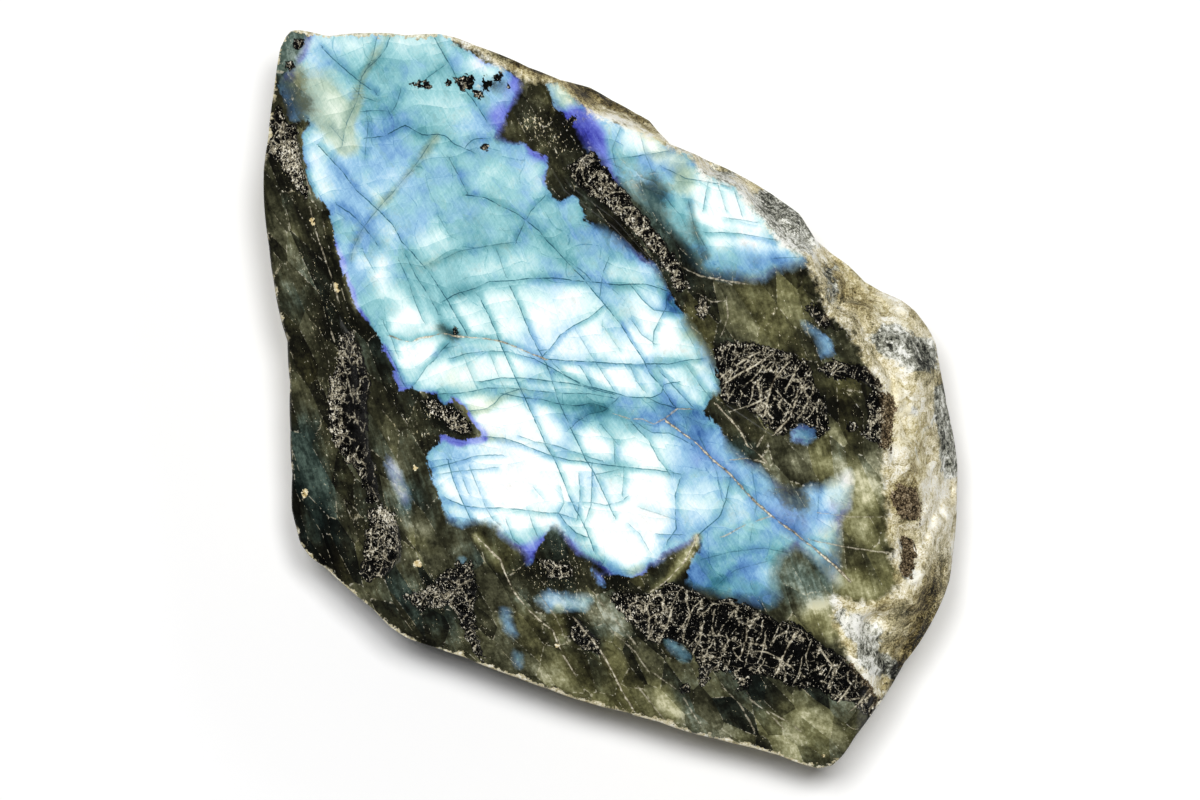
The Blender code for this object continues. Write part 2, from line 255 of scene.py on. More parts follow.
# The cracks: a strength, dark above 0 and pale below it, and the points. Each shades the flash on its left.
CRACKS_PX = [
    # top of the face
    (0.9, 321,47, 341,66, 355,78, 361,83, 376,93), (0.6, 361,96, 376,101),
    (0.7, 342,144, 346,123, 357,100, 361,77, 371,61, 378,33), (0.8, 364,71, 375,61, 386,48, 391,33),
    (1, 432,33, 443,53, 453,70, 458,81, 473,100, 486,120), (0.7, 425,82, 426,78, 444,65),
    (0.7, 392,111, 396,105, 401,90), (0.8, 391,111, 375,110, 363,111),
    (0.6, 366,113, 368,120, 367,136, 364,158),
    (1, 473,152, 453,143, 446,136, 438,134, 424,135, 414,130, 406,125, 401,126, 393,131, 383,136, 366,138),
    (0.8, 486,138, 473,139, 466,146),
    (1, 319,146, 330,158, 340,169, 350,182, 356,190, 375,207, 385,217, 394,226, 401,241, 414,255, 428,271,
     438,286, 449,303, 459,321, 467,334),
    (0.6, 393,192, 400,184, 416,164, 426,149, 436,136),
    (0.6, 351,260, 353,248, 361,231, 371,217, 383,203, 393,192), (0.7, 449,158, 459,176, 467,192),
    (0.5, 330,126, 343,141), (0.9, 337,205, 350,213, 363,226, 373,238, 378,246), (0.6, 363,251, 373,270),
    # upper middle
    (0.7, 399,260, 409,283, 416,304, 423,321), (0.8, 406,256, 416,276, 429,296, 438,313),
    (1, 466,195, 484,197, 501,206, 516,213, 527,221, 539,231, 547,241, 557,251, 565,260, 583,278, 596,295,
     608,308, 621,325, 632,343, 644,361, 649,373, 661,386, 674,406),
    (0.7, 570,262, 585,273, 592,282), (0.8, 516,241, 524,223, 530,212, 544,197), (0.5, 438,215, 449,235),
    (0.5, 497,251, 506,276), (0.5, 509,243, 491,245, 476,248, 459,251, 449,256, 436,262, 423,266),
    (1, 667,291, 646,284, 619,285, 594,282, 578,281, 556,278, 533,278, 510,281, 490,281, 476,288, 459,293,
     443,301),
    (0.7, 608,260, 603,272, 600,295), (0.8, 632,286, 642,300, 654,310, 677,313, 687,313),
    (0.8, 667,296, 666,308, 662,315, 654,331, 653,343), (0.9, 510,286, 521,310, 531,336, 543,358),
    (1, 478,295, 490,318, 501,345, 513,373, 525,398, 536,423, 546,445, 556,463, 563,480, 569,496, 576,511,
     586,529, 594,551),
    (0.9, 603,306, 589,318, 573,326, 560,335, 553,345, 543,356), (0.6, 560,336, 549,349, 539,351),
    (-0.9, 390,336, 400,340, 411,342, 419,338, 433,336, 443,333, 454,336, 467,337, 482,338, 499,341, 516,347,
     532,354, 545,359),
    (0.8, 433,362, 441,351, 449,343), (0.6, 383,321, 391,338, 398,356), (0.7, 389,352, 396,367, 404,384),
    (0.6, 415,384, 427,366, 437,358),
    # the crowded middle
    (1, 702,359, 686,360, 669,364, 649,364, 619,364, 596,362, 570,361, 543,359),
    (0.8, 531,358, 510,352, 487,351, 470,353, 452,358),
    (1, 677,382, 664,384, 661,393, 651,398, 627,397, 608,391, 586,386, 566,376, 548,366, 533,358),
    (0.9, 613,394, 593,389, 573,384, 550,381, 525,378, 501,378, 480,382),
    (0.8, 613,398, 593,394, 563,393, 536,391, 510,388, 487,388, 462,393, 440,394),
    (0.9, 606,408, 591,403, 576,406, 560,404, 541,399, 525,398, 501,393),
    (0.9, 546,363, 553,383, 558,400, 566,418, 574,435, 586,460, 596,476, 604,494, 614,516),
    (0.7, 553,363, 566,376, 580,384, 594,391), (0.7, 580,366, 593,388), (0.7, 596,363, 613,389),
    (0.7, 631,368, 636,381, 644,391), (0.8, 661,373, 671,383, 684,398, 694,408),
    (0.7, 687,366, 699,383, 710,398), (0.6, 710,366, 714,376, 719,388), (0.5, 682,325, 694,346, 699,359),
    (0.6, 632,321, 642,335, 654,343), (-0.6, 692,409, 677,409, 664,419, 654,424, 642,419, 629,419, 616,414),
    (0.7, 570,429, 578,421, 589,414, 604,411, 613,403, 618,398), (0.8, 694,409, 676,408, 661,404, 647,398),
    (0.4, 576,331, 593,358), (0.4, 603,326, 619,349), (0.8, 523,388, 501,395, 495,403, 486,409, 470,411),
    (0.4, 489,352, 497,372, 507,395), (0.4, 462,352, 470,372, 478,390),
    # the white lower half
    (0.9, 680,474, 655,470, 636,468, 614,466, 592,463, 569,460, 549,455, 536,450, 519,443, 503,438, 486,437),
    (0.7, 602,461, 586,456, 569,450, 553,445, 536,442, 520,436),
    (0.7, 503,455, 490,455, 475,456, 453,463, 432,468), (0.6, 495,467, 483,469, 460,471, 440,474),
    (0.9, 448,461, 453,479, 463,503, 471,521, 475,528), (0.6, 460,471, 468,493),
    (0.6, 470,468, 478,488, 486,508, 493,519),
    (0.9, 586,537, 576,533, 566,523, 559,513, 543,513, 526,510, 503,508, 480,508, 461,505, 446,498),
    (0.7, 559,513, 564,503, 561,489), (0.6, 577,519, 561,514), (0.4, 534,488, 543,499),
    (0.8, 626,498, 619,502, 606,505, 596,503, 586,502, 571,502), (0.7, 579,476, 580,496, 577,518),
    (0.8, 592,465, 592,486, 591,506, 584,524), (0.6, 624,470, 622,496), (0.6, 619,470, 602,473, 591,476),
    (0.6, 614,443, 615,463), (0.8, 680,479, 675,496, 676,529, 667,542), (0.7, 682,535, 659,534),
    (0.6, 528,511, 533,526, 539,539), (0.6, 506,521, 513,539, 523,547), (0.6, 602,426, 617,443),
    (0.8, 632,423, 649,441, 659,460, 670,474), (0.7, 637,423, 652,433, 669,433, 680,438, 694,446),
    (0.4, 640,508, 660,514, 676,520), (0.5, 650,552, 640,534, 630,525),
    # right lobe
    (0.9, 730,478, 726,500, 720,516, 695,538),
    (-1.4, 667,422, 694,441, 710,457, 731,475, 753,500, 772,516, 793,532, 814,548, 833,564, 849,580),
    (-0.6, 810,540, 845,547, 889,553), (-0.6, 723,537, 747,524, 772,516), (-0.4, 820,513, 850,517, 880,517),
    (0.5, 820,460, 818,515), (0.5, 700,438, 716,470, 722,500), (0.5, 700,560, 730,552, 765,548, 800,556),
    (0.4, 752,470, 757,502, 750,540), (0.4, 712,590, 735,570, 772,560),
    # threads in the pocket right of the face
    (-1, 725,383, 741,373, 755,365, 770,355), (-0.9, 722,376, 735,366, 750,356, 761,351),
    (-1, 765,414, 768,399, 773,383, 781,370, 788,363), (-1, 775,433, 789,419, 795,404, 798,390, 806,385),
    (-0.8, 771,385, 783,398, 793,408), (-0.8, 745,385, 753,380, 763,366), (-0.8, 786,390, 793,375, 799,368),
    (-0.8, 779,406, 786,416), (-0.8, 810,386, 802,392, 796,402), (-0.8, 727,412, 749,406, 763,399),
    # threads in the pocket of the lower bevel
    (-0.9, 796,633, 786,650, 777,675), (-0.9, 747,626, 746,640, 741,656),
    (-0.8, 724,630, 729,642, 736,656, 741,660), (-0.8, 757,652, 765,652, 780,659, 792,668),
    (-0.8, 802,662, 799,674, 794,684), (-0.8, 834,663, 830,672, 825,680), (-0.8, 820,648, 828,660, 834,667),
    (-0.9, 851,686, 845,695, 839,703), (-0.9, 866,696, 860,704, 852,711), (-0.8, 703,625, 700,640, 694,652),
    (-0.8, 672,610, 668,624, 662,636), (-0.7, 645,604, 650,618, 648,632), (-0.7, 812,640, 806,656, 808,668),
    (-0.7, 766,634, 764,648, 758,664), (-0.7, 686,600, 690,616, 684,634), (-0.7, 714,612, 712,628, 716,650),
    # right of the face, over the body
    (-0.9, 717,405, 730,419, 741,432, 748,446, 760,455, 768,464), (-0.7, 768,464, 756,460, 745,458, 733,460),
    (-0.6, 769,446, 772,460), (-0.6, 757,447, 762,438), (-0.6, 700,295, 712,302, 724,301),
    (-0.5, 727,300, 728,318, 722,334), (-0.6, 683,268, 700,276, 722,280, 745,284),
    # upper flash
    (0.7, 668,151, 630,157, 600,160), (0.8, 730,186, 715,183, 685,178, 663,167),
    (0.7, 645,188, 663,195, 680,215, 685,225), (0.8, 777,240, 757,236, 735,233, 705,232),
    (0.6, 757,222, 727,218), (0.6, 800,257, 775,258), (0.8, 708,183, 703,208), (0.6, 718,184, 726,210),
    (0.6, 735,192, 742,215), (0.5, 620,128, 612,150, 618,172), (0.5, 640,133, 646,156, 655,178),
    (0.6, 688,200, 694,226, 706,248),
    # lower bevel
    (-0.9, 477,537, 500,560, 512,590, 530,612, 553,632, 562,655, 575,675),
    (-0.9, 575,620, 600,650, 612,672, 625,698, 633,711), (-0.5, 612,632, 635,652, 648,672),
    (-0.6, 655,675, 680,693, 700,725), (-0.6, 725,690, 741,706, 755,732), (-0.6, 750,700, 768,713, 784,730),
    (-0.6, 772,714, 790,724, 802,733), (-0.9, 697,537, 686,560, 668,580, 651,592),
    (-0.5, 540,596, 556,618, 566,640), (-0.5, 598,600, 622,628, 636,645), (-0.5, 640,690, 660,716, 672,730),
    # left bevel
    (-0.6, 310,210, 320,245, 332,280, 338,300), (-0.5, 296,150, 306,178, 312,200),
    (-0.5, 330,330, 345,372, 352,400),
]
# Soft strokes, listed by their amount: each has a width and the points that it runs through.
# Light and shade, in the flash, the clear body and the rind.
LIGHT_PX = {
    0.55: [(15, 705,188, 722,200, 738,212, 752,226)],
    0.52: [(32, 490,480, 520,470, 545,485, 520,498)],
    0.5: [(28, 650,490, 650,515, 636,530), (22, 612,540, 628,550, 600,530)],
    0.48: [(24, 490,424, 515,420, 528,430)],
    0.45: [(13, 402,356, 418,352, 428,350)],
    0.42: [(13, 667,330, 668,342), (16, 636,448, 646,456)],
    0.4: [(14, 590,440, 602,448), (12, 700,212, 715,222, 720,240)],
    0.35: [
        (11, 600,116, 630,128, 655,141), (20, 572,346, 592,340, 612,348, 632,356),
        (14, 648,306, 640,300, 652,322), (13, 618,378, 632,386, 645,390), (12, 444,478, 450,490, 458,500),
        (12, 480,515, 500,514, 515,520), (4, 336,250, 343,268, 350,290, 356,308),
    ],
    0.34: [(5, 697,537, 686,560, 668,580, 655,592)],
    0.3: [
        (4, 476,536, 490,552, 497,562), (10, 362,262, 376,266, 382,262), (11, 392,330, 404,322, 412,316),
        (10, 636,335, 644,348), (12, 570,372, 590,374, 608,380), (10, 672,376, 686,390, 692,396),
        (14, 440,372, 425,380), (10, 575,468, 590,470), (14, 600,515, 610,520), (10, 745,240, 765,246),
        (10, 394,466, 402,492), (12, 838,574, 856,584, 868,592),
    ],
    0.28: [(9, 384,290, 380,276), (16, 470,374, 490,368, 512,366)],
    0.25: [
        (12, 690,722, 720,735), (12, 318,145, 316,165, 322,190), (12, 462,312, 474,322),
        (10, 690,352, 700,372, 710,384), (12, 545,420, 555,432), (12, 545,520, 556,524), (8, 782,248, 795,254),
        (5, 916,575, 920,590, 915,620), (5, 811,604, 828,603),
    ],
    0.24: [(20, 496,304, 506,330)],
    0.22: [
        (12, 428,240, 440,236), (10, 400,300, 405,312), (20, 572,298, 592,300), (14, 540,320, 548,340),
        (20, 802,604, 830,612, 850,625), (12, 545,602, 580,602),
    ],
    0.2: [
        (8, 478,62, 492,70), (14, 600,612, 616,628), (12, 541,673, 570,690, 600,703), (9, 404,522, 420,530),
        (10, 388,222, 394,236), (10, 425,320, 432,326), (12, 455,398, 475,400), (12, 690,500, 700,512),
        (12, 660,440, 672,452), (24, 792,570, 808,586), (12, 628,142, 650,146, 668,158), (8, 556,88, 568,98),
        (20, 690,705, 740,725, 790,745), (24, 790,725, 830,745, 850,722), (18, 850,470, 870,480),
        (28, 780,450, 830,470, 870,470, 868,520), (14, 890,300, 905,325),
    ],
    0.18: [
        (12, 312,40, 345,44, 380,42, 410,42, 445,45), (12, 612,270, 640,272), (24, 526,300, 545,310, 560,305),
        (16, 520,590, 545,625, 560,660), (12, 745,190, 735,182), (12, 898,585, 905,560),
        (12, 895,380, 905,400),
    ],
    0.17: [(18, 895,390, 905,420, 900,450)],
    0.16: [
        (10, 334,105, 344,140), (10, 662,694, 674,710), (16, 594,478, 606,490),
        (16, 712,490, 735,505, 745,520), (14, 600,668, 625,695, 655,712), (14, 640,580, 672,566, 684,556),
        (16, 850,620, 868,640, 880,665),
    ],
    0.15: [
        (12, 528,168, 538,182), (14, 395,180, 372,195), (14, 480,272, 505,266, 530,262),
        (10, 545,386, 565,388), (8, 828,637, 842,648, 856,662, 872,684),
    ],
    0.14: [(12, 640,185, 665,215), (34, 520,486, 580,490, 640,506), (14, 830,500, 825,525, 818,545)],
    0.12: [
        (12, 290,44, 287,62), (16, 310,60, 330,100), (12, 480,610, 500,640), (14, 470,62, 490,66),
        (16, 440,105, 470,120), (16, 340,150, 350,170), (8, 480,180, 500,166, 510,182),
        (12, 845,480, 865,500, 860,530), (14, 296,230, 286,290), (10, 408,545, 420,560),
        (9, 405,400, 418,420, 410,440),
    ],
    0.1: [
        (26, 430,345, 480,365, 540,372), (10, 760,570, 778,575), (10, 400,595, 440,640),
        (10, 540,100, 530,118), (16, 930,480, 938,520, 930,550), (14, 280,240, 300,330),
    ],
    0.08: [(12, 815,250, 845,270, 880,295), (14, 940,490, 936,530)],
    0.06: [(34, 425,318, 520,322, 610,318, 680,338), (26, 730,310, 780,320)],
    0.04: [(30, 440,366, 540,370, 650,374)],
    -0.05: [(22, 470,230, 520,240, 570,252)],
    -0.06: [(14, 375,100, 380,128), (16, 555,215, 590,232), (14, 740,478, 762,486)],
    -0.08: [(18, 382,66, 392,80), (12, 560,412, 575,410), (14, 650,200, 662,220)],
    -0.09: [(26, 712,562, 740,560, 770,548)],
    -0.1: [
        (7, 443,301, 476,288, 533,278, 619,285), (6, 450,500, 503,509, 559,514), (14, 392,120, 430,122),
        (14, 715,262, 745,268, 770,262), (22, 930,560, 930,620, 915,665), (10, 850,300, 862,318),
    ],
    -0.12: [
        (6, 533,360, 566,377, 610,392), (6, 560,362, 620,364, 700,360),
        (6, 486,437, 536,450, 592,463, 636,468), (10, 610,250, 630,262), (12, 622,404, 645,408, 668,412),
        (8, 650,186, 664,198), (10, 572,140, 556,118), (16, 890,340, 862,335), (12, 770,202, 782,218, 800,232),
    ],
    -0.14: [(7, 450,392, 500,394, 560,402, 606,408), (14, 945,568, 938,606, 922,650)],
    -0.15: [
        (10, 596,412, 584,420), (10, 690,255, 680,250), (14, 850,410, 838,400),
        (16, 300,480, 305,540, 330,570), (14, 320,340, 325,380), (16, 540,565, 565,580),
        (12, 822,262, 832,290), (10, 948,390, 952,430, 956,470), (8, 940,400, 946,440),
    ],
    -0.18: [(16, 570,665, 540,650), (10, 865,655, 895,672)],
    -0.2: [
        (9, 570,618, 578,632, 586,648), (18, 700,575, 740,592, 770,602), (16, 610,690, 590,660),
        (14, 725,700, 735,720, 760,745), (10, 870,650, 890,640), (9, 896,500, 908,510),
        (16, 912,592, 914,640, 900,676),
    ],
    -0.25: [(12, 690,418, 700,428), (12, 582,122, 592,138)],
    -0.28: [(9, 575,86, 604,96, 632,112, 655,130)],
    -0.3: [
        (8, 600,562, 625,573, 650,567), (6, 441,322, 448,328, 454,334), (7, 436,356, 445,349),
        (7, 668,300, 672,310), (12, 808,434), (12, 430,402, 450,412, 468,430), (12, 918,345, 926,368),
        (7, 908,545, 907,570), (8, 322,500, 325,560),
    ],
    -0.35: [(9, 898,492, 912,500, 908,514)],
    -0.42: [(7, 540,68, 516,60, 492,52)],
}
# Where the flash turns violet.
VIOLET_PX = {
    1.2: [(16, 590,132)],
    1.1: [(14, 575,118)],
    0.9: [(14, 538,150), (7, 290,76), (7, 455,404, 468,420, 482,436, 462,441, 444,436)],
    0.8: [(8, 598,144, 606,162, 612,182), (6, 312,28, 308,40, 301,58), (12, 540,545)],
    0.7: [(9, 520,82, 532,100, 524,120, 512,134), (9, 478,436), (10, 430,400), (10, 523,555)],
    0.6: [
        (14, 514,86), (12, 570,550), (14, 500,120), (5, 334,245, 342,262, 348,283, 355,304, 366,322),
        (8, 385,350, 394,370, 404,390),
    ],
    0.55: [(22, 780,505, 800,530)],
    0.5: [
        (8, 340,262), (8, 350,292), (8, 456,440), (14, 480,62), (18, 500,112), (8, 390,458, 397,478, 404,500),
        (12, 605,575), (24, 700,455), (20, 835,510), (12, 436,352),
    ],
    0.4: [
        (18, 735,470), (10, 316,160), (14, 800,434), (20, 470,145), (10, 540,180),
        (10, 640,575, 665,556, 690,543),
    ],
    0.35: [(20, 760,262)],
    0.3: [(14, 645,262), (18, 640,245), (9, 500,532, 515,546, 527,556), (9, 556,530, 575,550, 598,564)],
    0.25: [(30, 420,150)],
    0.2: [(30, 415,245), (40, 470,260)],
    0.1: [(20, 560,600)],
}
# Where it turns olive, the clear body turns honey and the rind brown.
WARM_PX = {
    1.2: [(22, 855,585)],
    1: [
        (22, 305,88), (12, 328,98, 336,124, 347,146), (12, 678,568), (6, 476,536, 490,552, 500,566),
        (6, 697,537, 686,560, 668,580, 655,592), (8, 558,610, 560,634), (9, 610,645, 618,672),
        (12, 575,84, 604,94, 632,110, 655,128),
    ],
    0.9: [(16, 318,110), (10, 900,490, 912,510), (10, 664,694, 676,712)],
    0.8: [
        (16, 655,150, 680,165, 684,185), (30, 830,620), (32, 800,735, 845,730), (14, 880,600, 895,575),
        (18, 935,570, 930,620, 915,660),
    ],
    0.7: [(40, 870,520), (6, 342,146, 346,123, 357,100, 364,74, 378,50, 386,34), (14, 918,430, 920,470)],
    0.6: [
        (16, 450,375), (40, 840,470), (14, 640,580), (18, 500,550), (16, 430,550), (12, 415,540),
        (26, 750,440), (8, 690,318, 704,340, 716,365), (16, 900,385, 895,430), (12, 900,500),
        (14, 815,618, 835,632), (12, 850,270, 880,300, 910,320),
    ],
    0.55: [(6, 436,136, 416,164, 400,184, 375,212, 360,235, 351,260)],
    0.5: [
        (22, 345,110), (14, 700,370), (12, 690,335), (20, 480,400), (14, 715,395), (50, 770,310),
        (24, 800,280), (26, 530,620), (40, 600,690), (40, 640,700), (30, 820,395), (20, 560,100),
        (7, 470,411, 486,409, 498,400, 523,390), (7, 486,437, 503,438, 520,444), (16, 500,58, 540,70, 600,95),
        (18, 925,600, 905,680), (14, 860,300, 840,270),
    ],
    0.4: [
        (20, 330,70), (12, 590,225), (14, 330,125), (40, 560,680), (20, 345,560), (24, 850,380), (40, 740,320),
        (30, 660,725), (8, 509,243, 476,248, 449,256, 425,264), (8, 600,562, 625,573, 650,567),
    ],
    0.3: [
        (16, 500,440), (12, 565,205), (14, 830,540), (12, 620,235), (20, 290,240), (30, 700,300),
        (30, 790,700), (30, 760,745),
    ],
    0.25: [(14, 430,150), (24, 800,580)],
    0.2: [(10, 404,180), (10, 384,200), (18, 770,560), (18, 340,45), (20, 310,380)],
}
# Where it turns teal, and the clear body and the rind a cold grey.
COLD_PX = {
    1.2: [(14, 290,40, 286,64)],
    0.9: [
        (12, 770,200, 785,216, 802,234), (12, 885,338, 905,345, 922,360), (9, 946,390, 950,430, 955,470),
        (9, 866,656, 895,672),
    ],
    0.8: [(30, 660,215), (24, 795,575, 815,590), (7, 908,545, 907,572), (10, 842,618, 868,640)],
    0.7: [(60, 430,70), (30, 310,480), (16, 775,205, 800,235), (16, 895,342, 925,358), (9, 735,446, 750,450)],
    0.6: [
        (40, 350,60), (60, 500,290), (50, 430,300), (60, 470,380), (40, 720,210), (30, 690,380), (24, 308,530),
        (30, 400,590), (26, 405,500), (12, 950,400, 955,460), (10, 832,270, 834,300),
    ],
    0.5: [
        (60, 470,190), (60, 600,400), (30, 600,180), (50, 600,540), (40, 400,330), (40, 530,520),
        (16, 285,200), (24, 440,620), (20, 520,600), (24, 670,620), (30, 600,640), (24, 300,430),
        (14, 865,635, 880,660), (12, 725,172), (12, 905,690, 890,700),
    ],
    0.4: [
        (40, 560,240), (40, 640,300), (40, 640,460), (40, 740,560), (20, 300,300), (20, 480,560),
        (20, 700,240), (14, 302,440, 312,490, 318,540),
    ],
    0.35: [(30, 760,685)],
    0.3: [(40, 700,700), (20, 745,650)],
    0.2: [(30, 820,700), (14, 800,436)],
}
# Where pale grains crowd: specks in the clear body, threads in the inclusions, grit in the rind.
SPECKS_PX = {
    2.2: [(10, 382,514, 390,522)],
    1.3: [(8, 586,164, 596,184, 614,204, 636,228, 662,260, 676,284)],
    1.1: [(12, 285,150, 300,190)],
    0.9: [
        (26, 385,530), (12, 530,122, 562,142), (7, 340,340, 334,370, 332,410, 338,440), (12, 775,205, 800,232),
    ],
    0.8: [
        (8, 428,408, 446,412, 458,426), (16, 945,560, 940,600, 925,650), (12, 900,490, 915,510),
        (14, 420,590, 450,600), (12, 285,130, 295,160),
    ],
    0.7: [(24, 300,160), (24, 475,640), (40, 556,560), (24, 700,305), (40, 640,610)],
    0.6: [
        (30, 325,250), (28, 345,310), (34, 405,410), (26, 430,430),
        (18, 300,260, 312,330, 320,400, 334,470, 346,520), (14, 880,430, 885,400),
    ],
    0.55: [(60, 760,350)],
    0.5: [
        (24, 352,350), (30, 420,600), (40, 600,600), (30, 540,130), (40, 820,345), (34, 860,440),
        (18, 520,100, 540,130, 560,160), (20, 560,560, 520,580, 560,600),
    ],
    0.4: [(16, 372,490), (34, 460,590), (30, 735,440)],
    0.35: [(26, 346,400)],
    0.3: [(22, 356,450), (26, 385,575), (60, 700,630), (20, 520,150)],
    0.1: [(50, 800,660)],
    -0.3: [(30, 720,625, 760,640, 800,650)],
    -0.6: [(9, 352,380, 350,440)],
    -1: [(9, 366,360, 368,400, 366,440, 376,490)],
}
# Where the body veils the flash.
VEIL_PX = {
    0.9: [(12, 294,92, 292,110, 302,104), (6, 441,328, 456,336)],
    0.8: [(10, 678,248, 690,266)],
    0.7: [(7, 482,86, 500,84)],
    0.6: [(6, 690,205, 696,232, 706,256), (10, 300,70, 290,82), (7, 690,322, 706,346, 716,366)],
    0.55: [(12, 650,196, 660,216)],
    0.5: [
        (10, 655,184, 662,192), (10, 700,592, 735,604, 765,610), (8, 600,226, 625,246), (10, 830,555, 826,575),
        (12, 398,490), (10, 775,492, 800,500),
    ],
    0.4: [(12, 638,186, 658,204, 678,230, 694,256), (10, 693,270, 740,278)],
    0.35: [(12, 620,170, 640,190), (8, 780,480, 805,505), (12, 792,500, 796,535)],
    0.3: [(8, 290,80)],
}
# Where the flash fades softly into the body.
SOFT_PX = {
    1.2: [(11, 772,592, 774,570, 790,548, 812,556, 832,576)],
    1: [
        (12, 731,449, 750,464, 775,482, 800,492, 828,482, 848,476),
        (14, 846,500, 840,530, 836,560, 838,588, 800,602, 750,603), (14, 540,600, 565,602, 588,600),
        (12, 505,612, 515,650, 518,666), (12, 670,642, 686,658), (10, 726,667), (12, 392,465, 405,500),
        (14, 806,434), (14, 686,262, 720,276, 760,280, 800,264),
    ],
    0.9: [(9, 806,328, 826,352), (14, 600,165, 640,205, 672,245)],
    0.8: [(9, 690,590, 720,597, 745,602), (10, 584,140, 596,160), (9, 306,40, 298,60, 284,80, 296,115)],
    0.7: [(8, 448,522, 470,524, 498,530, 526,558), (8, 460,560)],
    0.6: [(8, 556,530, 580,552, 604,570), (8, 655,565, 680,548, 700,538), (10, 500,140, 520,120, 522,88)],
    0.5: [(8, 690,322, 716,362, 718,388), (7, 600,226, 640,256, 664,284)],
}
# Grains of another mineral in the clear body.
SPOTS_PX = {
    1: [
        (3.5, 303,492, 303,495), (3.5, 412,598, 415,598), (3.5, 416,563, 419,566), (3, 415,468), (3, 434,597),
        (3, 557,647), (3, 311,219, 313,223), (3, 335,284, 337,291), (3, 825,758), (3.5, 478,86, 480,96),
        (3, 470,92),
    ],
}
# Where the edge of the face is chipped.
CHIPPED_PX = {
    1: [(12, 300,26, 350,32, 400,30, 445,34)],
    0.6: [(12, 440,662, 500,678, 560,698), (12, 600,708, 680,732, 770,758, 830,772)],
    0.4: [(10, 300,560, 340,600, 390,632)],
}
STROKE_DEPTH = 3.0  # down the sides, over which the strokes fade away
# How far down the sides a marking runs for each millimetre that its outline passes the rim by.
FLASH_RUN, DARK_RUN, POLISH_RUN, RIM_RUN = 3, 4, 2, 2
STROKES_PX = {
    "light": LIGHT_PX,
    "violet": VIOLET_PX,
    "warm": WARM_PX,
    "cold": COLD_PX,
    "specks": SPECKS_PX,
    "veil": VEIL_PX,
    "soft": SOFT_PX,
    "spots": SPOTS_PX,
    "chipped": CHIPPED_PX,
}

# ---------------------------------------------------------------- the shape, worked out


def polar(outline, angles):
    """The distance from the middle to a closed outline at each angle."""
    points = np.array(outline)
    at = np.arctan2(points[:, 1], points[:, 0])
    order = np.argsort(at)
    return np.interp(angles, at[order], np.hypot(*points[order].T), period=2 * math.pi)


def along_line(points, a, b):
    """How far each point is from the line a-b, and on which side of it: positive on its left."""
    run = b - a
    share = np.clip((points - a) @ run / (run @ run), 0, 1)
    away = points - a - share[:, None] * run
    side = run[0] * (points[:, 1] - a[1]) - run[1] * (points[:, 0] - a[0])
    return np.hypot(*away.T), side


def outside_by(points, outline):
    """How far each point lies outside a closed outline: negative within it."""
    corners = np.array(outline)
    nearest = np.full(len(points), np.inf)
    within = np.zeros(len(points), bool)
    for a, b in zip(corners, np.roll(corners, -1, axis=0)):
        nearest = np.minimum(nearest, along_line(points, a, b)[0])
        crosses = (a[1] > points[:, 1]) != (b[1] > points[:, 1])
        rise = b[1] - a[1] or 1.0
        within ^= crosses & (points[:, 0] < a[0] + (points[:, 1] - a[1]) * (b[0] - a[0]) / rise)
    return np.where(within, -nearest, nearest)


def smooth_step(x):
    x = np.clip(x, 0, 1)
    return x * x * (3 - 2 * x)


def facets(points, layers=FACET_LAYERS, seed=FACET_SEED):
    """The relief of stone broken along flat facets, each a tilted plane round its seed in a loose lattice."""
    relief = np.zeros(len(points))
    for layer, (spacing, height, tilt) in enumerate(layers):
        random = np.random.default_rng(seed + layer)
        lattice = [int(2 * FACET_REACH / spacing) + 3] * 3
        offsets = random.random((*lattice, 3))
        heights = random.uniform(-height, height, lattice)
        slopes = random.uniform(-tilt, tilt, (*lattice, 3)) * spacing
        places = (points + FACET_REACH) / spacing + 1
        home = np.floor(places).astype(int)
        level, share = 0, 0
        for shift in itertools.product((-1, 0, 1), repeat=3):
            cell = tuple((home + shift).T)
            from_seed = places - home - shift - offsets[cell]
            nearness = np.exp(-(from_seed**2).sum(1) / FACET_BLEND)
            level = level + nearness * (heights[cell] + (from_seed * slopes[cell]).sum(1))
            share = share + nearness
        relief += level / share
    return relief


def face_height(across):
    """The cut and polished surface: the crown and the cuts round it, each taking over where it is lowest."""
    crown = THICKNESS - CROWN_DROP * (across**2).sum(1) / CROWN_RADIUS**2
    levels = [crown]
    for crease, falls, steepness in CUTS.values():
        way = np.array([math.cos(math.radians(falls)), math.sin(math.radians(falls))])
        levels.append(THICKNESS - CREASE_DROP - math.tan(math.radians(steepness)) * ((across - crease) @ way))
    lowest = np.min(levels, axis=0)
    spread = sum(np.exp((lowest - level) / CREASE_ROUNDING) for level in levels)
    return lowest - CREASE_ROUNDING * np.log(spread)


def top_surface(across):
    """The height of the stone's upper side at each point of the plan."""
    height = face_height(across)
    off_polish = outside_by(across, POLISH_EDGE)
    rind = smooth_step(off_polish / RIND_EDGE)
    height -= rind * (RIND_STEP + RIND_SLOPE * np.maximum(off_polish, 0))
    places = np.column_stack([across, height])
    height += rind * RIND_RELIEF * facets(places)
    height += rind * (facets(places, RIND_GRAIN, RIND_GRAIN_SEED) - RIND_GRAIN_DROP)
    for middle, radius, rise in RIND_LUMPS:
        height += rind * rise * smooth_step(1 - np.linalg.norm(across - middle, axis=1) / radius)
    for pit in PITS.values():
        within = (1 - rind) * smooth_step(-outside_by(across, pit) / PIT_RIM)
        height -= within * PIT_DEPTH
    return height


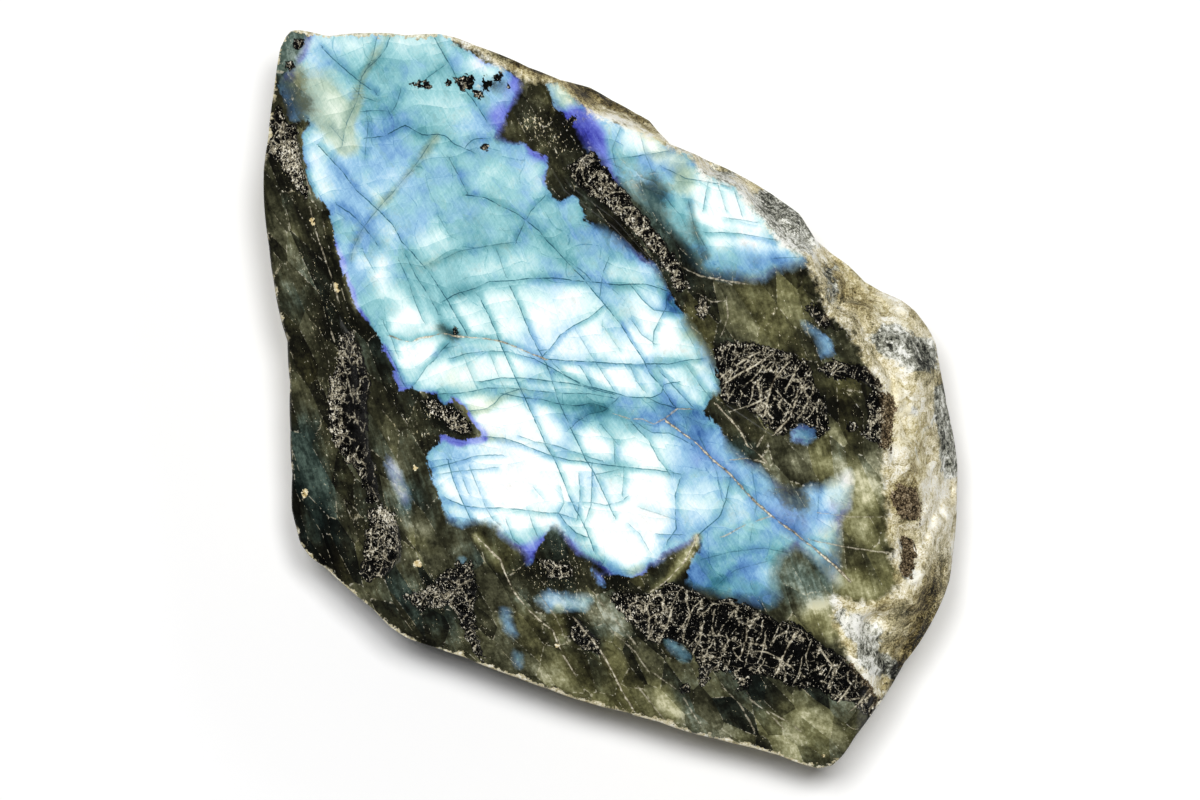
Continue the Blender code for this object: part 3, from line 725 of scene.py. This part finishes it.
def on_stone(grid):
    """Places a square grid's points on the stone. A point's x and y run from -1 to 1 over the grid, and its z
    is 0 on the upper side and the share of the way down the side wall below its rim. Also gives each point's
    plan position on the upper side, or on the rim above it."""
    u, v, down = grid.T
    x = u * np.sqrt(1 - v**2 / 2)
    y = v * np.sqrt(1 - u**2 / 2)
    angle = np.arctan2(y, x)
    way = np.column_stack([np.cos(angle), np.sin(angle)])
    rim = polar(OUTLINE, angle) * SKIN_SHARE
    back = polar(BACK_EDGE, angle)
    turned_in = down**WALL_CURVE
    across = way * (np.hypot(x, y) * (rim + (back - rim) * turned_in))[:, None]
    plan = way * (np.hypot(x, y) * rim)[:, None]
    height = top_surface(plan) * (1 - down)
    fade = smooth_step(down / WALL_FADE) * smooth_step((1 - down) / WALL_FADE)
    places = np.column_stack([across, height])
    grain = facets(places, RIND_GRAIN, RIND_GRAIN_SEED)
    cut_in = fade * np.maximum(WALL_RELIEF - facets(places) - grain, 0)
    return np.column_stack([across - way * cut_in[:, None], height]), plan


def skin_mesh():
    """The stone's skin, laid as the solid is: a grid over the top, a wall from its rim down, and the back."""
    stone = bmesh.new()
    bmesh.ops.create_grid(stone, x_segments=TOP_CELLS, y_segments=TOP_CELLS, size=1)
    rim = [edge for edge in stone.edges if edge.is_boundary]
    for ring in range(1, WALL_RINGS + 1):
        made = bmesh.ops.extrude_edge_only(stone, edges=rim)["geom"]
        rim = [item for item in made if isinstance(item, bmesh.types.BMEdge)]
        for vertex in {vertex for edge in rim for vertex in edge.verts}:
            vertex.co.z = ring / WALL_RINGS
    bmesh.ops.contextual_create(stone, geom=rim)
    bmesh.ops.recalc_face_normals(stone, faces=stone.faces)
    mesh = bpy.data.meshes.new("labradorite_skin")
    stone.to_mesh(mesh)
    stone.free()
    return mesh


# ---------------------------------------------------------------- the markings, worked out


def to_mm(points_px):
    """Plan millimetres on the stone for the photograph's pixels."""
    points = np.reshape(np.array(points_px, float), (-1, 2))
    return (points - STONE_MIDDLE_PX) * (1, -1) / PX_PER_MM


def to_line(plan, line):
    """Each point's distance to a line of several points, and which side of it the point is on."""
    if len(line) == 1:
        return np.linalg.norm(plan - line[0], axis=1), np.ones(len(plan))
    nearest, side = np.full(len(plan), np.inf), np.ones(len(plan))
    for a, b in zip(line, line[1:]):
        away, on_left = along_line(plan, a, b)
        nearer = away < nearest
        nearest[nearer], side[nearer] = away[nearer], np.sign(on_left[nearer])
    return nearest, side


def strokes(plan, strokes_px):
    """The sum of soft strokes at each point."""
    total = np.zeros(len(plan))
    for amount, runs_px in strokes_px.items():
        for width, *line_px in runs_px:
            away = to_line(plan, to_mm(line_px))[0] * PX_PER_MM / width
            total += amount * np.exp(-(away**2))
    return total


def inside_any(plan, outlines_px):
    """How far each point lies inside the nearest of several outlines: negative outside them all."""
    return np.max([-outside_by(plan, to_mm(outline)) for outline in outlines_px], axis=0)


FAMILY_GAP = 1.6  # lines of one family lie at least this far apart, so that each point knows its nearest
FAMILY_STEP = 0.6  # between the points at which two lines are compared
FAR = 99.0  # from every line


def closest_approach(a, b):
    return min(np.hypot(*(p - q)) for p in a for q in b)


def line_families():
    """Sorts the cracks into families whose lines keep clear of each other."""
    families = []
    for strength, *line_px in CRACKS_PX:
        line = to_mm(line_px)
        steps = max(2, int(np.hypot(*np.diff(line, axis=0).T).sum() / FAMILY_STEP))
        at = np.linspace(0, len(line) - 1, steps)
        dense = np.column_stack([np.interp(at, range(len(line)), line[:, k]) for k in (0, 1)])
        for family in families:
            if all(closest_approach(dense, other) > FAMILY_GAP for _, _, other in family):
                family.append((strength, line, dense))
                break
        else:
            families.append([(strength, line, dense)])
    return families


def family_field(plan, family):
    """For each point: its signed distance to the family's nearest line, its plain distance, and the line's
    strength."""
    field = np.full((len(plan), 3), (FAR, FAR, 0.0))
    for strength, line, _ in family:
        away, side = to_line(plan, line)
        nearer = away < field[:, 1]
        field[nearer] = np.column_stack([side * away, away, np.full(len(plan), strength)])[nearer]
    return field


def mark(mesh, name, values):
    """Stores a number, or three, at each vertex, for the material to read."""
    kind = "FLOAT" if values.ndim == 1 else "FLOAT_VECTOR"
    attribute = mesh.attributes.new(name, kind, "POINT")
    attribute.data.foreach_set("value" if kind == "FLOAT" else "vector", values.astype(np.float32).ravel())


def labradorite_skin():
    mesh = skin_mesh()
    grid = np.empty(len(mesh.vertices) * 3)
    mesh.vertices.foreach_get("co", grid)
    grid = grid.reshape(-1, 3)
    places, plan = on_stone(grid)
    down = grid[:, 2] * THICKNESS

    flash = inside_any(plan, [MAIN_FLASH_PX, UPPER_FLASH_PX, *FLASH_SPECKS_PX])
    dark = inside_any(plan, INCLUSIONS_PX.values())
    for x, y, radius in DARK_SPOTS_PX:
        dark = np.maximum(dark, radius / PX_PER_MM - np.linalg.norm(plan - to_mm((x, y)), axis=1))
    polished = -outside_by(plan, POLISH_EDGE)
    crumbly = smooth_step((dark - down) / CRUMB_EDGE) * (down < CRUMB_REACH) * smooth_step(polished)
    places[:, 2] += crumbly * (facets(places, CRUMB_GRAIN, CRUMB_GRAIN_SEED) - CRUMB_GRAIN_DROP)
    mesh.vertices.foreach_set("co", (places * MM).ravel())

    mark(mesh, "flash", flash - down / FLASH_RUN)
    mark(mesh, "dark", dark - down / DARK_RUN)
    mark(mesh, "polished", polished - down / POLISH_RUN)
    mark(mesh, "down", down)
    mark(mesh, "rim", down / RIM_RUN - outside_by(plan, OUTLINE))
    for name, strokes_px in STROKES_PX.items():
        mark(mesh, name, strokes(plan, strokes_px) * np.exp(-down / STROKE_DEPTH))
    families = line_families()
    for number, family in enumerate(families):
        mark(mesh, f"lines_{number}", family_field(plan, family))

    mesh.shade_smooth()
    skin = bpy.data.objects.new("labradorite_skin", mesh)
    bpy.context.scene.collection.objects.link(skin)
    mesh.materials.append(labradorite(len(families)))
    return skin


# ---------------------------------------------------------------- materials


def linear(code):
    """The linear colour of an sRGB hex code."""
    parts = [int(code[k : k + 2], 16) / 255 for k in (0, 2, 4)]
    return [p / 12.92 if p < 0.04045 else ((p + 0.055) / 1.055) ** 2.4 for p in parts] + [1.0]


class Signal:
    """A node's output that adds, subtracts and multiplies, so that a material reads like a formula."""

    def __init__(self, graph, socket):
        self.graph, self.socket = graph, socket

    def __add__(self, other):
        return self.graph.math("ADD", self, other)

    def __radd__(self, other):
        return self.graph.math("ADD", other, self)

    def __sub__(self, other):
        return self.graph.math("SUBTRACT", self, other)

    def __rsub__(self, other):
        return self.graph.math("SUBTRACT", other, self)

    def __mul__(self, other):
        return self.graph.math("MULTIPLY", self, other)

    def __rmul__(self, other):
        return self.graph.math("MULTIPLY", other, self)

    def __neg__(self):
        return self.graph.math("MULTIPLY", self, -1.0)

    def __abs__(self):
        return self.graph.math("ABSOLUTE", self)


class Graph:
    """Makes one material's nodes."""

    def __init__(self, name):
        self.material = bpy.data.materials.new(name)
        self.material.use_nodes = True
        self.nodes = self.material.node_tree.nodes
        self.links = self.material.node_tree.links

    def node(self, kind, inputs=(), output=0, **settings):
        made = self.nodes.new(kind)
        for key, value in settings.items():
            setattr(made, key, value)
        self.fill(made, dict(inputs))
        return Signal(self, made.outputs[output])

    def fill(self, node, inputs):
        for key, value in inputs.items():
            if isinstance(value, Signal):
                self.links.new(value.socket, node.inputs[key])
            else:
                node.inputs[key].default_value = value

    def finish(self, **inputs):
        named = {key.replace("_", " "): value for key, value in inputs.items()}
        self.fill(self.nodes["Principled BSDF"], named)
        return self.material

    def math(self, operation, a, b=0.0, clamp=False):
        return self.node("ShaderNodeMath", {0: a, 1: b}, operation=operation, use_clamp=clamp)

    def number(self, name):
        return self.node("ShaderNodeAttribute", output="Fac", attribute_name=name)

    def three(self, name):
        return self.parts(self.node("ShaderNodeAttribute", output="Vector", attribute_name=name))

    def parts(self, vector):
        made = self.node("ShaderNodeSeparateXYZ", {0: vector}).socket.node
        return [Signal(self, socket) for socket in made.outputs]

    def step(self, value, low, high, at_low=0.0, at_high=1.0):
        """Runs smoothly from at_low to at_high as the value goes from low to high."""
        inputs = {0: value, 1: low, 2: high, 3: at_low, 4: at_high}
        return self.node("ShaderNodeMapRange", inputs, interpolation_type="SMOOTHSTEP")

    def mix(self, share, a, b):
        return self.node("ShaderNodeMix", {"Factor": share, 6: a, 7: b}, output=2, data_type="RGBA")

    def ramp(self, value, stops):
        made = self.node("ShaderNodeValToRGB", {0: value})
        band = made.socket.node.color_ramp
        while len(band.elements) < len(stops):
            band.elements.new(0.5)
        for element, (place, code) in zip(band.elements, stops.items()):
            element.position, element.color = place, linear(code)
        return made

    def stretched(self, where, angle, along, across):
        """Coordinates in which a feature of size 1 is `along` long at this angle in plan and `across` wide."""
        inputs = {0: where, 2: (0, 0, math.radians(angle)), 3: (along, across, across)}
        return self.node("ShaderNodeMapping", inputs, vector_type="TEXTURE")

    def noise(self, where, size=1.0, detail=3.0, roughness=0.55):
        """Soft noise round 0, about -0.3 to 0.3, with features of this size."""
        inputs = {"Vector": where, "Scale": 1 / size, "Detail": detail, "Roughness": roughness}
        return self.node("ShaderNodeTexNoise", inputs) - 0.5

    def shards(self, angle, along, across, where=None):
        """Cuts the stone into shards of this size. Gives three random numbers round 0 for each shard, and each
        point's distance from its shard's edge as a share of the size."""
        inputs = {"Vector": self.stretched(where or self.bent, angle, along, across), "Scale": 1.0}
        chances = self.parts(self.node("ShaderNodeTexVoronoi", inputs, output="Color"))
        edge = self.node("ShaderNodeTexVoronoi", inputs, feature="DISTANCE_TO_EDGE", output="Distance")
        return [number - 0.5 for number in chances], edge


# Each ramp's colours, from dark to light, at their places along it.
BLUE_RAMP = {0.0: "14264c", 0.2: "355f98", 0.4: "6796c6", 0.6: "98c4e2", 0.8: "d0ebf7", 1.0: "ffffff"}
TEAL_RAMP = {0.0: "1c3c42", 0.2: "3c7884", 0.4: "6ca8b0", 0.6: "9ccfd4", 0.8: "d3f0f0", 1.0: "ffffff"}
VIOLET_RAMP = {0.0: "0c0a34", 0.2: "3e3aa8", 0.45: "747cd8", 0.7: "aab8f0", 1.0: "f2f4ff"}
OLIVE_RAMP = {0.0: "262c20", 0.25: "5e6c54", 0.45: "8ca28a", 0.65: "bccdb2", 0.85: "e6f0dc", 1.0: "ffffff"}
LINE_RAMP = {0.0: "0c242c", 0.4: "1c4f60", 0.8: "337e8c", 1.0: "52a2b0"}
BODY_RAMP = {0.0: "030302", 0.3: "12120c", 0.5: "2c2c1e", 0.7: "54543f", 0.85: "7f7f66", 1.0: "b4b298"}
HONEY_RAMP = {0.0: "070603", 0.3: "201e10", 0.5: "47452a", 0.7: "74724c", 0.85: "a09e76", 1.0: "d8d4b0"}
COLD_RAMP = {0.0: "030605", 0.3: "0f1816", 0.5: "28342f", 0.7: "52635a", 0.85: "82938a", 1.0: "bccac2"}
RIND_RAMP = {0.0: "14120c", 0.2: "47422e", 0.4: "8a8262", 0.6: "c6bb94", 0.8: "ece4ca", 1.0: "fffdf2"}
BROWN_RAMP = {0.0: "0c0a05", 0.25: "3c3422", 0.5: "84764e", 0.75: "c2b586", 1.0: "efe7c8"}
GREY_RAMP = {0.0: "10110f", 0.25: "3c3e39", 0.5: "7c7e75", 0.75: "b8bab0", 1.0: "f4f4ee"}
SPOT_RAMP = {0.0: "2c2412", 0.3: "78663c", 0.6: "c4ac74", 0.85: "e8dab0", 1.0: "fffae8"}
BLACK_RAMP = {0.0: "010101", 0.5: "0a0a0a", 1.0: "343633"}
CRUMB_RAMP = {0.0: "100c08", 0.3: "463b2b", 0.6: "857459", 0.85: "b9a98c", 1.0: "e4d8c0"}
THREAD_RAMP = {0.0: "24231c", 0.25: "585345", 0.5: "968e79", 0.75: "d0c8b0", 1.0: "fbf6e6"}


def labradorite(family_count):
    """The stone's material. The weights in it and in its parts were all set against the photograph."""
    g = Graph("labradorite")
    where = g.node("ShaderNodeTexCoord", output="Object")
    where = g.node("ShaderNodeVectorMath", {0: where, 3: 1 / MM}, operation="SCALE")
    g.where = where
    g.sway = g.noise(where, 9.0, detail=1)
    g.broad = g.noise(where, 5.0, detail=3)
    g.middling = g.noise(where, 1.7, detail=4, roughness=0.6)
    g.fine = g.noise(where, 0.42, detail=3, roughness=0.65)
    g.grit = g.noise(where, 0.2, detail=1, roughness=0.8)
    g.flecks = g.noise(g.stretched(where, 100, 0.44, 0.2), 1.0, detail=2, roughness=0.7)
    bend = g.node("ShaderNodeTexNoise", {"Vector": where, "Scale": 0.5, "Detail": 2.0}, output="Color")
    g.bent = g.node("ShaderNodeVectorMath", {0: where, 1: bend}, operation="ADD")
    for name in STROKES_PX:
        setattr(g, name, g.number(name))
    g.slabs, g.slab_edge = g.shards(-62, 8.0, 2.6, where)
    g.plates, _ = g.shards(-58, 3.2, 1.3)
    g.chips, _ = g.shards(-50, 0.8, 0.45)
    dark_line, pale_line, stain, shade, panel = lines(g, family_count)

    # Painted sheen: the flash's glow, laid over the clear body as colour.
    flash_share, flash_colour = flash(g, shade, panel, dark_line)
    colour = g.mix(flash_share, body(g), flash_colour)
    dark_share, dark_colour = inclusions(g)
    colour = g.mix(dark_share, colour, dark_colour)
    stain = g.math("MULTIPLY", stain, 1.2, clamp=True)
    colour = g.mix(stain, colour, g.ramp(0.42 + g.fine * 1.4, CRUMB_RAMP))
    colour = g.mix(pale_line, colour, g.ramp(0.60 + g.fine * 1.8 + g.middling, THREAD_RAMP))
    rind_share, rind_colour = rind(g)
    colour = g.mix(rind_share, colour, rind_colour)

    crumbly = g.step(g.number("dark"), 0.0, 0.3)
    rough = g.step(g.number("polished"), 0.4, -0.4)
    relief = g.fine * (0.06 + crumbly * 1.0 + rough) + (g.grit * 0.6 + g.middling) * rough
    bumps = g.node("ShaderNodeBump", {"Height": relief, "Distance": 0.25 * MM, "Strength": 0.8})
    roughness = 0.16 + g.fine * 0.15 + dark_share * 0.3 + rind_share * 0.6
    return g.finish(Base_Color=colour, Roughness=roughness, Normal=bumps, Specular_IOR_Level=0.25)


def lines(g, family_count):
    """The cracks: how much of each point is a dark line, a pale one and the stain beside it, the shade on the
    lines' left sides and how far into a panel between them the point is."""
    wander = g.middling * 0.3 + g.fine * 0.12
    broken = g.noise(g.where, 1.1, detail=2)
    dark, pale, stain, shade, near = 0.0, 0.0, 0.0, 0.0, FAR
    for number in range(family_count):
        signed, plain, tone = g.three(f"lines_{number}")
        signed = signed + wander
        reach = g.step(plain, 0.55, 0.42)
        dark = g.math("MAXIMUM", dark, g.step(abs(signed) - broken * 0.12, 0.09, 0.02) * reach * tone)
        pale = g.math("MAXIMUM", pale, g.step(abs(signed) - broken * 0.28, 0.12, 0.03) * reach * -tone)
        stained = g.step(abs(signed) - broken * 0.5, 0.26, 0.03) * (-tone - 0.8) * reach
        stain = g.math("MAXIMUM", stain, stained)
        beside = g.step(plain, 0.95, 0.0) * g.step(signed, -0.05, 0.05) * abs(tone)
        shade = g.math("MAXIMUM", shade, beside)
        near = g.math("MINIMUM", near, plain)
    dark = dark * g.math("ADD", broken * 4.0 + g.fine * 1.5, 0.95, clamp=True)
    pale = pale * g.step(g.fine * 0.6 + broken, -0.2, 0.02)
    return dark, pale, stain, shade, g.step(near + g.middling, 0.1, 1.3)


def bands(g, across, spacing):
    """Cuts a coordinate into bands: the number of a point's band, how far through it the point is (0 to 1), and
    its distance from the nearest edge between bands."""
    place = across * (1 / spacing)
    number = g.math("FLOOR", place)
    along = place - number
    return number, along, g.math("MINIMUM", along, 1.0 - along) * spacing


def chance(g, number, seed=0.0):
    """A random share for each whole number."""
    return g.node("ShaderNodeTexWhiteNoise", {"W": number + seed}, noise_dimensions="1D")


def flash(g, shade, panel, dark_line):
    """The flash, the stone's labradorescent sheen painted into its colour: bright panels between the cracks,
    stepped by finer cleavage, and bluer towards its edge.
    """
    inside = g.number("flash") + g.middling * 0.8 + g.fine * 0.6 + g.plates[1] * 0.35 + g.chips[0] * 0.2
    veil = g.step(g.veil + g.middling * 0.9 + g.fine * 0.8 + g.plates[2] * 0.3, 0.0, 1.0)
    share = g.step(inside, -0.12 - g.soft * 0.9, 0.12 + g.soft * 1.5) * (1 - veil * 0.85)

    x, y, _ = g.parts(g.where)
    warp = g.sway * 8.0
    steep, _, steep_edge = bands(g, x * 0.90 + y * 0.44 + warp, 3.1)
    arched = y + x * 0.12 + x * x * 0.006 + warp * 0.8 + chance(g, steep) * 1.2
    step, down, arch_edge = bands(g, arched, 2.3)
    tilt = chance(g, step * 7.0 + steep * 13.0, 0.5) - 0.5
    scales = (down - 0.5) * -0.10 * g.step(g.broad + g.light * 0.3, -0.06, 0.1) + tilt * 0.05
    hair = g.step(arch_edge, 0.07, 0.02) * g.step(chance(g, step, 3.5), 0.3, 0.6)
    hair = g.math("MAXIMUM", hair, g.step(steep_edge, 0.07, 0.02) * g.step(chance(g, steep, 9.5), 0.2, 0.6))
    hair = hair * g.step(g.middling + g.fine * 0.8, -0.05, 0.08)
    brushed = g.noise(g.stretched(g.bent, -62, 3.6, 0.22), 1.0, detail=2)
    brushed = brushed + g.noise(g.stretched(g.bent, 52, 3.6, 0.30), 1.0, detail=2) * 0.7

    lit = g.math("MINIMUM", g.light, 0.46)
    glow = 0.445 + lit + g.broad * 0.16 + g.middling * 0.14 + g.fine * 0.14 + g.grit * 0.08 + brushed * 0.20
    glow = glow + scales + g.plates[0] * 0.06 + panel * 0.10 - shade * g.step(g.light, 0.0, 0.35, 0.06, 0.26)
    glow = glow - g.step(inside, 1.2, 0.0) * (0.14 - g.soft * 0.1) - hair * 0.14
    teal = g.step(g.cold + g.broad * 2.2 + g.middling * 0.6 + g.plates[2] * 0.3 + 0.22, 0.0, 0.9)
    violet = g.violet + g.step(inside, 0.6, 0.05) * 0.32 + g.middling * 0.6 + g.broad * 0.5
    violet = g.step(violet, 0.25, 0.95)
    olive = g.step(g.warm + g.broad * 0.9 + g.middling * 0.6, 0.25, 0.95)
    colour = g.mix(teal, g.ramp(glow, BLUE_RAMP), g.ramp(glow, TEAL_RAMP))
    colour = g.mix(olive * 0.8, colour, g.ramp(glow, OLIVE_RAMP))
    colour = g.mix(violet * 0.9, colour, g.ramp(glow - 0.08, VIOLET_RAMP))
    colour = g.mix(dark_line * 0.95, colour, g.ramp(glow, LINE_RAMP))
    return share, colour


def body(g):
    """The clear dark feldspar: slabs of olive, brown and blue-green depth, with seams and pale flecks."""
    streaks = g.noise(g.stretched(g.where, 108, 3.2, 0.45), 1.0, detail=3, roughness=0.6)
    depth = 0.455 + g.light * 1.1 + g.broad * 0.6 + g.middling * 0.55 + streaks * 0.35 + g.fine * 0.40
    depth = depth + g.slabs[0] * 0.28 + g.plates[0] * 0.08 + g.step(g.slab_edge, 0.0, 0.4) * 0.06
    # Painted shade: the clear body darkens a little towards the rim, where the bevels round over.
    depth = depth - g.step(g.number("rim"), 1.6, 0.0) * 0.04
    honey = g.step(g.warm + g.slabs[1] * 0.6 + g.broad * 1.2 + g.middling * 0.5, 0.05, 1.1)
    chill = g.step(g.cold + g.slabs[2] * 0.6 + streaks * 0.6 + g.middling * 0.8, 0.1, 1.0) * (1 - honey * 0.6)
    colour = g.mix(honey, g.ramp(depth, BODY_RAMP), g.ramp(depth + 0.04, HONEY_RAMP))
    colour = g.mix(chill, colour, g.ramp(depth + 0.02, COLD_RAMP))
    seam = g.step(g.slab_edge, 0.02, 0.006) * g.step(g.middling + g.fine, 0.03, 0.12)
    speck = g.step(g.flecks + g.specks * 0.08 + streaks * 0.12 + g.middling * 0.25, 0.225, 0.265)
    pale = g.math("MAXIMUM", seam * 0.35, speck * 0.95)
    colour = g.mix(pale, colour, g.ramp(0.66 + g.fine * 1.6, RIND_RAMP))
    spot = g.step(g.spots + g.middling * 1.0 + g.fine * 2.0, 0.55, 0.65)
    return g.mix(spot, colour, g.ramp(0.7 + g.fine * 1.5, SPOT_RAMP))


def inclusions(g):
    """Black crumbly pockets, netted with pale threads and flecks."""
    inside = g.number("dark") + g.middling * 1.2 + g.fine * 0.8 + g.chips[1] * 0.5
    share = g.step(inside, -0.05, 0.07)
    crowd = g.specks * 0.06
    present = g.middling + g.fine * 0.5 + g.broad * 0.25 + crowd
    _, edge = g.shards(64, 4.0, 1.5)
    net = g.step(edge * 1.3 + g.fine * 0.14, 0.085, 0.03) * g.step(present, -0.06, 0.03)
    _, edge = g.shards(-24, 2.4, 1.0)
    finer = g.step(edge * 0.8 + g.fine * 0.12, 0.05, 0.02) * g.step(present, 0.0, 0.08) * 0.6
    net = g.math("MAXIMUM", net, finer) * g.step(inside, 0.15, 0.4)
    border = g.step(inside, 0.9, 0.1)
    fleck = g.step(g.flecks + g.grit * 0.5 + g.middling * 0.25 + crowd * 1.3 + border * 0.05, 0.19, 0.24)
    fleck = fleck * g.step(inside, 0.0, 0.25)
    black = g.ramp(0.2 + g.fine * 1.8 + g.middling * 0.8, BLACK_RAMP)
    colour = g.mix(net * 0.9, black, g.ramp(0.50 + g.fine * 2.0 + g.grit * 1.6, THREAD_RAMP))
    colour = g.mix(fleck * 0.95, colour, g.ramp(0.78 + g.fine * 2.0, THREAD_RAMP))
    return share, colour


def rind(g):
    """The rough outside of the stone, sides and back: cream and ochre, with grey, brown and black grains."""
    outside = 0.0 - g.number("polished") + g.middling * 2.2 + g.fine * 0.8 + g.chips[2] * 0.5
    share = g.step(outside, -0.9, 0.4)
    layers = g.noise(g.stretched(g.where, 75, 3.0, 0.4), 1.0, detail=3)
    lumps, gap = g.shards(20, 1.7, 1.1)
    down = g.step(g.number("down"), 2.0, 12.0)
    grey = g.step(g.cold + g.broad * 1.4 + g.middling * 1.4 + lumps[1] * 0.3, 0.25, 0.6)
    brown = g.step(g.warm + g.sway * 2.0 + g.middling * 1.6 + lumps[2] * 0.5, 0.1, 0.8)
    grain = g.grit * (0.8 + g.specks * 1.0) + g.fine * (0.7 + grey * 0.6) + g.chips[0] * (0.10 + grey * 0.30)
    tone = 0.76 + g.light + g.broad * 0.9 + g.middling * 1.1 + grain + layers * (0.5 + grey * 0.3)
    tone = tone + lumps[0] * 0.2 - down * 0.18 - grey * 0.06 - brown * 0.10
    tone = tone - g.step(gap, 0.2, 0.0) * (brown + grey) * 0.1
    colour = g.mix(brown, g.ramp(tone, RIND_RAMP), g.ramp(tone, BROWN_RAMP))
    colour = g.mix(grey * 0.9, colour, g.ramp(tone, GREY_RAMP))
    crumb = g.step(g.number("dark") + g.middling * 1.0 + g.fine * 0.8 + g.chips[1] * 0.5, -0.05, 0.08)
    colour = g.mix(crumb, colour, g.ramp(0.38 + g.grit * 1.6 + g.fine * 1.5 + g.chips[0] * 0.25, CRUMB_RAMP))
    chip = g.step(g.number("rim") - g.chipped * 0.35 + g.middling * 2.6 + g.fine * 1.2, 0.28, 0.12)
    chip = chip * g.step(g.broad + g.chipped, -0.04, 0.06)
    colour = g.mix(chip * (1 - share), colour, g.ramp(0.72 + g.fine * 1.6, RIND_RAMP))
    share = g.math("MAXIMUM", share, chip * 0.85)
    return share, colour


def table_top():
    bpy.ops.mesh.primitive_plane_add(size=FLOOR_SIZE, location=(0, 0, -FLOOR_DROP))
    floor = bpy.context.object
    floor.name = "floor"
    g = Graph("paper")
    floor.data.materials.append(g.finish(Base_Color=(0.96, 0.96, 0.96, 1.0), Roughness=0.9, IOR=1.3))
    return floor


# ---------------------------------------------------------------- light and camera

FLOOR_SIZE = 4.0  # metres
FLOOR_DROP = 0.0002  # metres under the stone's back, so that the two don't share a plane
CAMERA_DISTANCE = 1.2  # metres above the polished face
SENSOR = 36.0
# Each lamp's place and width in metres, its power, and whether it shows in reflections.
LAMPS = {
    "key_left": ((-0.10, 0.150, 1.6), 0.19, 12.4, False),
    "key_right": ((0.10, 0.150, 1.6), 0.19, 12.4, False),
    "softbox": ((0.6, 0.7, 0.9), 0.4, 1.0, True),
}
LAMPS_AIM = (0, 0, 0.02)  # metres
SKY_STRENGTH = 0.09


def camera():
    seen_across = IMAGE_WIDTH_PX / PX_PER_MM * MM
    data = bpy.data.cameras.new("camera")
    data.sensor_width = SENSOR
    data.lens = SENSOR * CAMERA_DISTANCE / seen_across
    eye = bpy.data.objects.new("camera", data)
    aim = to_mm(IMAGE_MIDDLE_PX)[0] * MM
    eye.location = (aim[0], aim[1], THICKNESS * MM + CAMERA_DISTANCE)
    bpy.context.scene.collection.objects.link(eye)
    bpy.context.scene.camera = eye


def studio():
    for name, (place, size, power, glossy) in LAMPS.items():
        data = bpy.data.lights.new(name, "AREA")
        data.shape = "DISK"
        data.size = size
        data.energy = power
        lamp = bpy.data.objects.new(name, data)
        lamp.location = place
        lamp.rotation_euler = (Vector(LAMPS_AIM) - Vector(place)).to_track_quat("-Z", "Y").to_euler()
        lamp.visible_glossy = glossy
        bpy.context.scene.collection.objects.link(lamp)
    world = bpy.data.worlds.new("studio")
    bpy.context.scene.world = world
    world.use_nodes = True
    background = world.node_tree.nodes["Background"].inputs
    background["Color"].default_value = (1, 1, 1, 1)
    background["Strength"].default_value = SKY_STRENGTH
    bpy.context.scene.view_settings.view_transform = "Standard"


# ---------------------------------------------------------------- the scene

skin = labradorite_skin()
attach(skin, "root")
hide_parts(NODE)
table_top()
camera()
studio()
